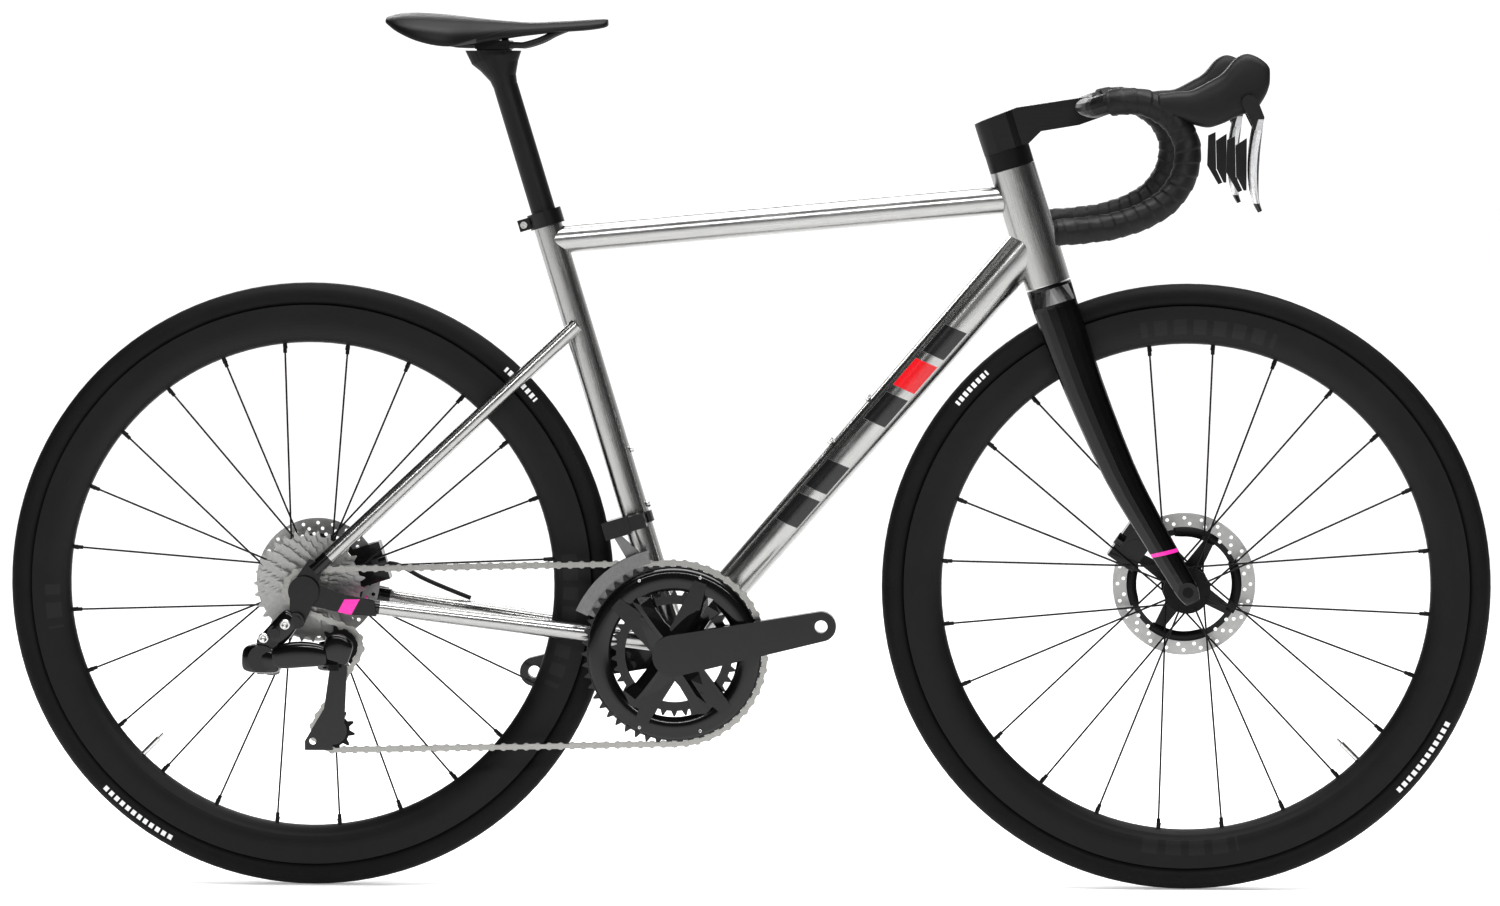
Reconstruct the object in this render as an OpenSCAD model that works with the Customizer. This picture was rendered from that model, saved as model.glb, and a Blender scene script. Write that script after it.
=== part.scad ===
// Road bicycle: steel frame, carbon fork, disc brakes, twelve-speed drivetrain.
// X points forwards, Y to the rider's left, Z up; the origin lies on the ground
// midway between the two axles. All sizes are millimetres.

/* [Wheels] */
// Diameter of the rim's bead seat
bead_d = 622; // [584:1:622]
// Width and height of the inflated tyre
tyre_w = 28; // [23:1:32]
// Radial depth of the rim below its hooks
rim_depth = 42.5; // [30:0.5:50]
// Outside width of the rim
rim_w = 27; // [24:0.5:30]
// Number of three-spoke groups in a wheel
spoke_groups = 8; // [6:1:8]
// Radius of the spoke holes in a hub flange
flange_r = 22; // [20:0.5:24]
// Radius of a spoke
spoke_r = 1; // [0.8:0.1:1.2]
// Distance between the two axles
wheelbase = 978; // [950:1:1030]
// Width between the fork ends
front_old = 100; // [100:1:110]
// Width between the rear dropouts
rear_old = 142; // [135:1:148]
// Diameter of both thru-axles
axle_d = 12; // [10:0.5:15]

/* [Frame] */
// Distance from the crank axle to the rear axle
chainstay_len = 415; // [405:1:440]
// Height of the axles above the crank axle
bb_drop = 71.5; // [65:0.5:78]
// Angle of the seat tube to the ground
seat_angle = 73.25; // [71:0.25:75]
// Length of the seat tube above the crank axle
seat_tube_len = 512; // [480:1:560]
// Outside diameter of the seat tube
seat_tube_d = 31.8; // [30:0.1:35]
// Angle of the steering axis to the ground
head_angle = 72.7; // [70:0.1:74]
// Length of the head tube
head_tube_len = 135; // [115:1:180]
// Outside diameter of the head tube
head_tube_d = 51; // [48:0.5:54]
// Outside diameter of the top tube
top_tube_d = 31; // [28:0.1:35]
// Outside diameter of the down tube at the crank axle
down_tube_d = 38; // [35:0.5:44]
// Outside diameter of the down tube at the head tube
down_tube_head_d = 46; // [38:0.5:46]
// Outside diameter of the bottom bracket shell
bb_shell_d = 42; // [40:0.5:46]
// Width of the bottom bracket shell
bb_shell_w = 68; // [68:0.5:70]
// Outside diameter of a chainstay at the shell
chainstay_d = 22; // [18:0.5:23]
// Outside diameter of a seatstay, and of a chainstay at the dropout
stay_d = 16; // [14:0.5:18]
// Wall of the frame's tubes
tube_wall = 1.2; // [0.8:0.1:2.5]

/* [Fork] */
// Distance of the front axle ahead of the steering axis
fork_rake = 47; // [40:0.5:52]
// Distance from the front axle to the crown seat
fork_len = 369; // [360:1:385]
// Outside diameter of the steerer
steerer_d = 28.6; // [28:0.1:30]
// Outside diameter of the headset bearings
headset_d = 44; // [42:0.1:45]

/* [Seat] */
// Diameter of the seatpost
post_d = 27.2; // [25:0.1:27.4]
// Length of seatpost above the seat tube
post_out = 185; // [120:1:220]
// Length of seatpost inside the seat tube
post_in = 100; // [80:1:120]
// Length of the saddle
saddle_len = 245; // [230:1:285]
// Width of the saddle
saddle_w = 143; // [130:1:160]
// Spacing of the saddle rails
rail_gap = 44; // [42:0.5:46]
// Diameter of a saddle rail
rail_d = 7; // [6:0.5:8]

/* [Handlebar] */
// Spacing of the drops, centre to centre
bar_w = 400; // [360:5:440]
// Diameter of the bar inside the tape
bar_d = 23; // [22:0.2:24.2]
// Outside diameter of the taped bar
tape_d = 29; // [27:0.5:32]

/* [Drivetrain] */
// Pitch of the chain
chain_pitch = 12.7; // [12.7:0.1:12.7]
// Teeth of the large chainring
ring_teeth = 50; // [48:1:52]
// Teeth of the small chainring
inner_teeth = 34; // [33:1:36]
// Teeth of each jockey wheel
jockey_teeth = 11; // [10:1:12]
// Length of a crank arm, axle to pedal
crank_len = 167.5; // [160:0.5:175]
// Angle of the drive-side crank arm above the horizontal
crank_angle = 11.5; // [0:0.5:30]
// Distance of the large chainring from the frame's middle
ring_y = 47.5; // [46:0.1:49]
// Distance of the smallest sprocket from the frame's middle
small_sprocket_y = 63; // [62:0.1:64]
// Spacing of the sprockets
sprocket_step = 3.58; // [3.5:0.01:3.8]
// Diameter of the crank spindle
spindle_d = 24; // [22:0.5:26]
// Diameter of the pedal thread
pedal_d = 14.29; // [12:0.01:15]

/* [Brakes] */
// Diameter of the front rotor
front_rotor_d = 160; // [140:10:160]
// Diameter of the rear rotor
rear_rotor_d = 140; // [140:10:160]
// Thickness of a rotor
rotor_t = 1.8; // [1.6:0.1:2]
// Gap between a brake pad and its rotor
pad_gap = 0.4; // [0.2:0.05:0.5]

/* [Hidden] */
$fn = 64;

// Clearances: a running shaft, two still faces, a soft piece, a thin air gap
run = 0.05;
seat = 0.05;
soft = 0.3;
air = 0.5;

// Overlong cuts reach this far past a face
past = 5;

// Wheel places
bead_r = bead_d / 2;
tyre_r = bead_r + tyre_w;
rim_top_r = bead_r + 3.5;
rim_in_r = rim_top_r - rim_depth;
axle_z = tyre_r;
rear_x = -wheelbase / 2;
front_x = wheelbase / 2;
axle_r = axle_d / 2;

// Bottom bracket place
bb_x = rear_x + sqrt(chainstay_len * chainstay_len - bb_drop * bb_drop);
bb_z = axle_z - bb_drop;
bb = [bb_x, 0, bb_z];

// Steering axis: local Z runs up the axis from the point nearest the front axle
head_tilt = 90 - head_angle;
foot = [front_x - fork_rake * cos(head_tilt), 0, axle_z - fork_rake * sin(head_tilt)];
crown_s = sqrt(fork_len * fork_len - fork_rake * fork_rake);
head_gap = 3;
head_s = crown_s + head_gap;
head_top_s = head_s + head_tube_len;
function on_steer(s) = foot + s * [-sin(head_tilt), 0, cos(head_tilt)];

// Seat tube: local Z runs up the tube from the bottom bracket
seat_tilt = 90 - seat_angle;
function on_seat(s) = bb + s * [-sin(seat_tilt), 0, cos(seat_tilt)];

module steer() {
    translate(foot) rotate([0, -head_tilt, 0]) children();
}
module on_seat_tube() {
    translate(bb) rotate([0, -seat_tilt, 0]) children();
}

// A wheel's own frame: local Z is the bicycle's Y, local X forwards, local Y down
module about(x, z) {
    translate([x, 0, z]) rotate([-90, 0, 0]) children();
}

function unit(v) = v / norm(v);

// A round bar between two points, tapering from r1 to r2
module strut(p, q, r1, r2) {
    d = q - p;
    translate(p) rotate([0, acos(d.z / norm(d)), atan2(d.y, d.x)])
        cylinder(h = norm(d), r1 = r1, r2 = r2);
}

// A ring between two heights
module collar(h, r_out, r_in) {
    difference() {
        cylinder(h = h, r = r_out);
        translate([0, 0, -past]) cylinder(h = h + 2 * past, r = r_in);
    }
}

// Smooth curve through a list of points, n steps for each stretch
function knot(p, i) = p[min(max(i, 0), len(p) - 1)];
function blend(a, b, c, d, t) = 0.5 * (2 * b + (c - a) * t
    + (2 * a - 5 * b + 4 * c - d) * t * t + (3 * b - a - 3 * c + d) * t * t * t);
function spline(p, n) = concat(
    [for (i = [0:len(p) - 2], k = [0:n - 1])
        blend(knot(p, i - 1), p[i], p[i + 1], knot(p, i + 2), k / n)],
    [p[len(p) - 1]]);

// Frames carried along a path without twist
function heading(p, i) = unit(knot(p, i + 1) - knot(p, i - 1));
function carry(p, v, i = 0) = i == len(p) ? [] :
    let (t = heading(p, i), w = unit(v - (v * t) * t))
    concat([w], carry(p, w, i + 1));

// One closed skin over rings of points; each ring turns the same way
module loft(rings) {
    n = len(rings[0]);
    m = len(rings);
    polyhedron(
        [for (ring = rings, q = ring) q],
        concat(
            [[for (j = [0:n - 1]) j]],
            [for (i = [0:m - 2], j = [0:n - 1])
                [i * n + j, (i + 1) * n + j,
                 (i + 1) * n + (j + 1) % n, i * n + (j + 1) % n]],
            [[for (j = [n - 1:-1:0]) (m - 1) * n + j]]));
}

// A bar of elliptical section along a path; sizes gives [across, along v] half widths
module sweep(path, sizes, v = [0, 1, 0], sides = 12) {
    vs = carry(path, v);
    loft([for (i = [0:len(path) - 1])
        let (t = heading(path, i), u = cross(vs[i], t))
        [for (j = [0:sides - 1])
            let (a = 360 * j / sides)
            path[i] + u * sizes[i][0] * cos(a) + vs[i] * sizes[i][1] * sin(a)]]);
}
function same(path, r) = [for (p = path) [r, r]];

// A thin-walled sleeve along a path
module sleeve(path, r_out, r_in, v = [0, 1, 0], sides = 12) {
    vs = carry(path, v);
    m = len(path);
    pts = [for (r = [r_out, r_in], i = [0:m - 1], j = [0:sides - 1])
        let (t = heading(path, i), u = cross(vs[i], t), a = 360 * j / sides)
        path[i] + r * (u * cos(a) + vs[i] * sin(a))];
    far = m * sides;
    polyhedron(pts, concat(
        [for (i = [0:m - 2], j = [0:sides - 1]) let (k = (j + 1) % sides)
            [i * sides + j, (i + 1) * sides + j, (i + 1) * sides + k, i * sides + k]],
        [for (i = [0:m - 2], j = [0:sides - 1]) let (k = (j + 1) % sides)
            [far + i * sides + k, far + (i + 1) * sides + k,
             far + (i + 1) * sides + j, far + i * sides + j]],
        [for (j = [0:sides - 1]) let (k = (j + 1) % sides) [j, k, far + k, far + j]],
        [for (j = [0:sides - 1]) let (k = (j + 1) % sides, e = (m - 1) * sides)
            [e + k, e + j, far + e + j, far + e + k]]));
}

// Both sides of the bicycle
module pair() {
    children();
    mirror([0, 1, 0]) children();
}

// ---------- Frame ----------

head_ir = headset_d / 2;
seat_ir = post_d / 2 + run;
stay_z = bb_z + 7.5;
stay_y = 17;
drop_t = 7;
drop_in = rear_old / 2;
stay_start = [bb_x, stay_y, stay_z];
stay_stop = [rear_x + 82, drop_in - 6.5, axle_z - 19.5];
stay_dir = unit(stay_stop - stay_start);
stay_tail = stay_stop + 30 * stay_dir;
seatstay_top = on_seat(380) + [0, 20, 0];
seatstay_end = [rear_x + 26, drop_in, axle_z + 37];
seatstay_dir = unit(seatstay_end - seatstay_top);
top_seat_s = 478;
top_head_s = head_s + 100;
down_head_s = head_s + 53;

module head_bore_space() {
    steer() translate([0, 0, head_s - past])
        cylinder(h = head_tube_len + 2 * past, r = head_tube_d / 2);
}
module seat_tube_space() {
    on_seat_tube() cylinder(h = seat_tube_len, r = seat_tube_d / 2);
}
module shell_space() {
    translate([bb_x, 0, bb_z]) rotate([90, 0, 0])
        cylinder(h = bb_shell_w, r = bb_shell_d / 2, center = true);
}

module head_tube() {
    color("silver") steer() translate([0, 0, head_s])
        collar(head_tube_len, head_tube_d / 2, head_ir);
}
module top_tube() {
    color("silver") difference() {
        strut(on_seat(top_seat_s), on_steer(top_head_s), top_tube_d / 2, top_tube_d / 2);
        strut(on_seat(top_seat_s), on_steer(top_head_s), top_tube_d / 2 - tube_wall,
            top_tube_d / 2 - tube_wall);
        seat_tube_space();
        head_bore_space();
    }
}
module down_tube_space() {
    strut(bb, on_steer(down_head_s), down_tube_d / 2, down_tube_head_d / 2);
}
module down_tube() {
    color("silver") difference() {
        down_tube_space();
        strut(bb, on_steer(down_head_s), down_tube_d / 2 - tube_wall,
            down_tube_head_d / 2 - tube_wall);
        shell_space();
        seat_tube_space();
        head_bore_space();
        down_boss_holes(boss_r);
    }
}
module seat_tube() {
    color("silver") difference() {
        seat_tube_space();
        on_seat_tube() cylinder(h = seat_tube_len + past, r = seat_ir);
        shell_space();
        seat_boss_holes(boss_r);
    }
}
module bottom_bracket_shell() {
    color("silver") difference() {
        shell_space();
        translate([bb_x, 0, bb_z]) rotate([90, 0, 0])
            cylinder(h = bb_shell_w + 2 * past, r = shell_ir, center = true);
    }
}
module chainstays() {
    color("silver") pair() difference() {
        strut(stay_start, stay_stop, chainstay_d / 2, stay_d / 2);
        strut(stay_start, stay_stop + stay_dir, chainstay_d / 2 - tube_wall, stay_d / 2 - tube_wall);
        shell_space();
        seat_tube_space();
        down_tube_space();
        translate([bb_x - 60, -past, 0]) mirror([0, 1, 0]) cube([200, 100, 2 * bb_z]);
    }
}
module seatstays() {
    color("silver") pair() difference() {
        strut(seatstay_top, seatstay_end, stay_d / 2, stay_d / 2);
        strut(seatstay_top - seatstay_dir, seatstay_end + seatstay_dir, stay_d / 2 - tube_wall,
            stay_d / 2 - tube_wall);
        seat_tube_space();
    }
}

// Rear dropout: a plate, with a stub that carries each stay on at its own size
hub_room = 36;
module dropout_plate() {
    about(rear_x, axle_z) translate([0, 0, drop_in]) linear_extrude(drop_t) {
        circle(r = 17);
        polygon([[0, -15], [44, 4], [78, 11], [80, 28], [50, 26], [0, 15]]);
        polygon([[-12, -10], [6, -36], [22, -30], [16, -6]]);
    }
}
module dropouts() {
    color("black") pair() difference() {
        union() {
            dropout_plate();
            strut(stay_stop, stay_tail, stay_d / 2, stay_d / 2);
            strut(seatstay_end, seatstay_end + 22 * seatstay_dir, stay_d / 2, stay_d / 2);
        }
        about(rear_x, axle_z) translate([0, 0, drop_in - 40])
            cylinder(h = 40, r = hub_room);
        about(rear_x, axle_z) cylinder(h = rear_old, r = axle_r + seat);
    }
}

// Bottom bracket cups, screwed into the shell, with the spindle's bearings
shell_ir = 17.2;
cup_r = 20.5;
cup_t = 10;
cup_depth = 14;
spindle_r = spindle_d / 2;
module bottom_bracket_cups() {
    color("dimgray") pair() about(bb_x, bb_z) difference() {
        union() {
            translate([0, 0, bb_shell_w / 2]) cylinder(h = cup_t, r = cup_r);
            translate([0, 0, bb_shell_w / 2 - cup_depth])
                cylinder(h = cup_depth + 1, r = shell_ir - seat);
        }
        cylinder(h = bb_shell_w, r = spindle_r + run);
    }
}

// Headset bearings, pressed into both ends of the head tube
steerer_r = steerer_d / 2;
module headset_bearings() {
    color("dimgray") steer() for (s = [head_s - 1, head_top_s - 11.8])
        translate([0, 0, s]) difference() {
            cylinder(h = 12, r = head_ir - seat);
            translate([0, 0, -past]) cylinder(h = 12 + 2 * past, r = steerer_r + run);
        }
}

// Collar that squeezes the seat tube on the post, with two ears at the back
clamp_h = 17;
module seat_clamp() {
    color("black") on_seat_tube() translate([0, 0, seat_tube_len - clamp_h]) difference() {
        union() {
            cylinder(h = clamp_h, r = seat_tube_d / 2 + 3.5);
            translate([-seat_tube_d / 2 - 15, -8, 2]) cube([15, 16, clamp_h - 4]);
        }
        translate([0, 0, -past]) cylinder(h = clamp_h + 2 * past, r = seat_tube_d / 2);
        translate([-seat_tube_d, -1, -past]) cube([seat_tube_d, 2, clamp_h + 2 * past]);
        translate([-seat_tube_d / 2 - 9, 0, clamp_h / 2]) rotate([90, 0, 0])
            cylinder(h = 40, r = clamp_bolt_r + seat, center = true);
    }
}

// Bottle cage bolts and the seat clamp bolt
clamp_bolt_r = 2.5;
boss_r = 2.5;
boss_gap = 64;
bolt_head_r = 4.2;
bolt_head_t = 2.8;
seat_boss_s = 166;
down_boss_s = 290;
down_dir = unit(on_steer(down_head_s) - bb);
down_tilt = atan2(down_dir.z, down_dir.x);
down_half = 0.5 * (down_tube_d + (down_tube_head_d - down_tube_d)
    * (down_boss_s + 30) / norm(on_steer(down_head_s) - bb));
module at_seat_bosses() {
    on_seat_tube() for (s = [seat_boss_s, seat_boss_s + boss_gap])
        translate([seat_tube_d / 2, 0, s]) rotate([0, 90, 0]) children();
}
module at_down_bosses() {
    translate(bb) rotate([0, -down_tilt, 0]) for (s = [down_boss_s, down_boss_s + boss_gap])
        translate([s, 0, down_half]) children();
}
module seat_boss_holes(r) {
    at_seat_bosses() translate([0, 0, -8]) cylinder(h = 8 + past, r = r + seat);
}
module down_boss_holes(r) {
    at_down_bosses() translate([0, 0, -8]) cylinder(h = 8 + past, r = r + seat);
}
module boss_bolt() {
    translate([0, 0, -7]) cylinder(h = 7.5, r = boss_r);
    translate([0, 0, 0.5]) cylinder(h = bolt_head_t, r = bolt_head_r);
}
module frame_bolts() {
    color("silver") at_seat_bosses() boss_bolt();
    color("silver") at_down_bosses() boss_bolt();
    color("silver") on_seat_tube()
        translate([-seat_tube_d / 2 - 9, 0, seat_tube_len - clamp_h / 2]) rotate([90, 0, 0]) {
            cylinder(h = 18, r = clamp_bolt_r, center = true);
            translate([0, 0, 8.05]) cylinder(h = 3, r = 4);
        }
}

// Replaceable hanger: a disc on the axle and an arm to the derailleur
hanger_y = drop_in + drop_t;
hanger_t = 6;
module hanger_outline() {
    circle(r = 17);
    polygon([[-15, 0], [-15.5, 35], [-1, 39], [14, 8]]);
}
module derailleur_hanger() {
    color("black") about(rear_x, axle_z) mirror([0, 0, 1]) translate([0, 0, hanger_y])
        difference() {
            linear_extrude(hanger_t) hanger_outline();
            translate([0, 0, -past]) cylinder(h = 2 * past, r = axle_r + seat);
        }
}
module rear_axle() {
    color("dimgray") about(rear_x, axle_z) difference() {
        union() {
            translate([0, 0, -drop_in - drop_t]) cylinder(h = rear_old + 2 * drop_t, r = axle_r);
            translate([0, 0, drop_in + drop_t]) cylinder(h = 3, r = 9);
        }
        translate([0, 0, drop_in]) cylinder(h = 20, r = 3, $fn = 6);
    }
}

// ---------- Drivetrain ----------

// Wheels of the chain's path: [x, z, teeth, turn, y]; turn 1 is clockwise from the drive side
sprockets = [11, 12, 13, 14, 15, 16, 17, 19, 21, 24, 27, 30];
function pitch_r(n) = chain_pitch / (2 * sin(180 / n));
guide_at = [rear_x + 39, axle_z - 63];
knuckle_at = [rear_x + 44, axle_z - 62];
cage_len = 94;
// The chain rides this far off a sprocket's middle, which frees its slanted run
chain_ease = 0.6;
function tension_at(a) = guide_at + cage_len * [-sin(a), -cos(a)];
function chain_wheels(a) = [
    [rear_x, axle_z, sprockets[0], 1, -small_sprocket_y - chain_ease],
    [bb_x, bb_z, ring_teeth, 1, -ring_y + chain_ease],
    [tension_at(a)[0], tension_at(a)[1], jockey_teeth, 1, -small_sprocket_y],
    [guide_at[0], guide_at[1], jockey_teeth, -1, -small_sprocket_y]];

// Straight run from wheel a to wheel b: its direction and its length
function run_turn(a, b) = a[3] * pitch_r(a[2]) - b[3] * pitch_r(b[2]);
function run_span(a, b) = norm([b[0] - a[0], b[1] - a[1]]);
function run_dir(a, b) = atan2(b[1] - a[1], b[0] - a[0])
    - asin(run_turn(a, b) / run_span(a, b));
function run_len(a, b) = sqrt(pow(run_span(a, b), 2) - pow(run_turn(a, b), 2));
function mod360(a) = a - 360 * floor(a / 360);
function wrap(p, w, q) = mod360(w[3] * (run_dir(p, w) - run_dir(w, q)));
function links_on(w, k) = let (n = len(w), p = w[(k + n - 1) % n], q = w[(k + 1) % n])
    [wrap(p, w[k], q) * w[k][2] / 360, run_len(w[k], q) / chain_pitch];
function total(v, i = 0) = i == len(v) ? 0 : v[i] + total(v, i + 1);
function chain_links(a) = let (w = chain_wheels(a))
    total([for (k = [0:len(w) - 1]) let (l = links_on(w, k)) l[0] + l[1]]);

// The cage turns until the chain holds a whole, even number of links
cage_lean = 5;
link_count = 2 * round(chain_links(cage_lean) / 2);
function take_up(lo, hi, n) = let (m = (lo + hi) / 2)
    n == 0 ? m :
    (chain_links(m) - link_count) * (chain_links(lo) - link_count) > 0
        ? take_up(m, hi, n - 1) : take_up(lo, m, n - 1);
cage_angle = take_up(cage_lean - 25, cage_lean + 25, 24);
wheels = chain_wheels(cage_angle);
tension_xz = tension_at(cage_angle);
wheel_links = [for (k = [0:3]) links_on(wheels, k)];
starts = [0, wheel_links[0][0] + wheel_links[0][1],
    wheel_links[0][0] + wheel_links[0][1] + wheel_links[1][0] + wheel_links[1][1],
    link_count - wheel_links[3][0] - wheel_links[3][1]];

// Angle at which wheel k is entered, and the place of the chain u links along
function entry(k) = let (p = wheels[(k + 3) % 4])
    run_dir(p, wheels[k]) + 90 * wheels[k][3];
function on_wheel(k, u) = let (w = wheels[k], a = entry(k) - w[3] * u * 360 / w[2])
    [w[0] + pitch_r(w[2]) * cos(a), w[4], w[1] + pitch_r(w[2]) * sin(a)];
function wheel_of(u) = u < starts[1] ? 0 : u < starts[2] ? 1 : u < starts[3] ? 2 : 3;
function chain_at(u0) = let (u = u0 - link_count * floor(u0 / link_count), k = wheel_of(u),
    v = u - starts[k])
    v <= wheel_links[k][0] ? on_wheel(k, v) :
    let (a = on_wheel(k, wheel_links[k][0]), b = on_wheel((k + 1) % 4, 0),
        t = (v - wheel_links[k][0]) / wheel_links[k][1])
    a + (b - a) * t;

// Angle of one roller on wheel k, so that its teeth mesh with the chain
function roller_angle(k) = entry(k) - wheels[k][3] * (ceil(starts[k]) - starts[k])
    * 360 / wheels[k][2];

// Outline of a toothed wheel with a tooth gap at angle g
roller_r = 3.85;
tooth_h = 2;
module teeth_outline(n, g) {
    r = pitch_r(n);
    root = r - roller_r - 0.1;
    s = 360 / n;
    wide = 2 * asin((roller_r + 0.45) / (2 * r));
    polygon([for (i = [0:n - 1], q = [[root, -wide * 0.62], [root, wide * 0.62],
        [r, wide * 1.08], [r + tooth_h, s / 2 - wide * 0.16],
        [r + tooth_h, s / 2 + wide * 0.16], [r, s - wide * 1.08]])
        let (a = g + i * s + q[1]) q[0] * [cos(a), sin(a)]]);
}

// Chain: inner links hold the rollers, outer links lie outside them
plate_h = 8.2;
inner_half = 1.9;
inner_t = 0.6;
outer_half = 2.62;
module link_outline(waist) {
    circle(r = plate_h / 2, $fn = 24);
    translate([chain_pitch, 0]) circle(r = plate_h / 2, $fn = 24);
    translate([0, -waist / 2]) square([chain_pitch, waist]);
}
module inner_link() {
    for (z = [-inner_half, inner_half - inner_t])
        translate([0, 0, z]) linear_extrude(inner_t) link_outline(6);
    for (x = [0, chain_pitch])
        translate([x, 0, (inner_t - 2 * inner_half) / 2])
            cylinder(h = 2 * inner_half - inner_t, r = roller_r, $fn = 24);
}
module outer_link() {
    for (side = [0, 1]) mirror([0, 0, side]) {
        translate([0, 0, inner_half + 0.02]) linear_extrude(outer_half - inner_half - 0.02)
            link_outline(5);
    }
}
module chain() {
    color("silver") for (i = [0:link_count - 1]) {
        p = chain_at(i);
        q = chain_at(i + 1);
        d = q - p;
        translate(p) rotate([0, -atan2(d.z, d.x), 0])
            rotate([0, 0, atan2(d.y, norm([d.x, d.z]))]) rotate([-90, 0, 0])
            if (i % 2 == 0) inner_link(); else outer_link();
    }
}

// Cassette: twelve sprockets and their spacers on the freehub body
freehub_r = 17;
freehub_y = 20.5;
sprocket_t = 1.3;
spacer_r = 18;
last_y = small_sprocket_y - (len(sprockets) - 1) * sprocket_step;
module drive_side(x, z) {
    translate([x, 0, z]) rotate([90, 0, 0]) children();
}
module cassette() {
    color("silver") drive_side(rear_x, axle_z) difference() {
        union() {
            for (i = [0:len(sprockets) - 1])
                translate([0, 0, small_sprocket_y - i * sprocket_step - sprocket_t / 2])
                    linear_extrude(sprocket_t)
                        teeth_outline(sprockets[i], i == 0 ? roller_angle(0) : 9 * i);
            translate([0, 0, freehub_y])
                cylinder(h = small_sprocket_y - freehub_y + 2, r = spacer_r);
            translate([0, 0, small_sprocket_y]) cylinder(h = 4.5, r = 16);
            translate([0, 0, small_sprocket_y])
                cylinder(h = drop_in - small_sprocket_y - air, r = 9);
        }
        cylinder(h = drop_in, r = axle_r + run);
    }
}

// Chainrings and crank arms
ring_t = 4;
tooth_t = 1.1;
ring_gap = 7;
spider_r = 86;
spider_angles = [58, 127, 233, 302];
module outer_chainring() {
    color("black") drive_side(bb_x, bb_z) difference() {
        union() {
            translate([0, 0, ring_y - tooth_t / 2]) linear_extrude(tooth_t)
                teeth_outline(ring_teeth, roller_angle(1));
            translate([0, 0, ring_y - ring_t / 2])
                cylinder(h = ring_t, r = pitch_r(ring_teeth) - 5.5);
        }
        difference() {
            cylinder(h = 2 * ring_y, r = 75);
            for (a = spider_angles) rotate(crank_angle + a) translate([0, -10, 0])
                cube([80, 20, 2 * ring_y]);
        }
        cylinder(h = 2 * ring_y, r = 50);
    }
}
module inner_chainring() {
    color("black") drive_side(bb_x, bb_z) translate([0, 0, ring_y - ring_gap - 1.5])
        difference() {
            linear_extrude(3) teeth_outline(inner_teeth, 0);
            translate([0, 0, -past]) cylinder(h = 3 + 2 * past, r = 55);
            for (i = [0:3]) rotate(crank_angle + spider_angles[i]) translate([60, 0, -past])
                cylinder(h = 3 + 2 * past, r = bolt_r + seat);
        }
    color("silver") drive_side(bb_x, bb_z) for (a = spider_angles)
        rotate(crank_angle + a) translate([60, 0, ring_y - ring_gap - 2.5])
            cylinder(h = ring_gap - ring_t / 2 + 2.5, r = bolt_r);
}
bolt_r = 4;
arm_y = 60;
arm_t = 13;
arm_outline_end = 16.5;
module crank_outline() {
    circle(r = 23);
    translate([crank_len, 0]) circle(r = arm_outline_end);
    polygon([[0, -23], [crank_len, -arm_outline_end], [crank_len, arm_outline_end], [0, 23]]);
}
module crank_arm(inner) {
    translate([0, 0, arm_y]) linear_extrude(arm_t) crank_outline();
    translate([0, 0, inner]) cylinder(h = arm_y - inner + 1, r = 21);
}
module pedal_hole() {
    translate([crank_len, 0, arm_y - past])
        cylinder(h = arm_t + 2 * past, r = pedal_d / 2);
}
arm_inner = bb_shell_w / 2 + cup_t + 0.5;
spider_y = ring_y + ring_t / 2;
module right_crank() {
    color("black") drive_side(bb_x, bb_z) rotate(crank_angle) difference() {
        union() {
            crank_arm(arm_inner);
            translate([0, 0, -arm_y - 3]) cylinder(h = 2 * arm_y, r = spindle_r);
            for (a = spider_angles) rotate(a) translate([0, 0, spider_y + 0.05])
                linear_extrude(6) polygon([[0, -17], [spider_r, -7], [spider_r, 7], [0, 17]]);
        }
        pedal_hole();
    }
}
module left_crank() {
    color("black") translate([bb_x, 0, bb_z]) rotate([90, 0, 0]) rotate(crank_angle + 180)
        mirror([0, 0, 1]) difference() {
            crank_arm(arm_inner);
            cylinder(h = arm_y + 3 + air, r = spindle_r + seat);
            pedal_hole();
        }
}

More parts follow.
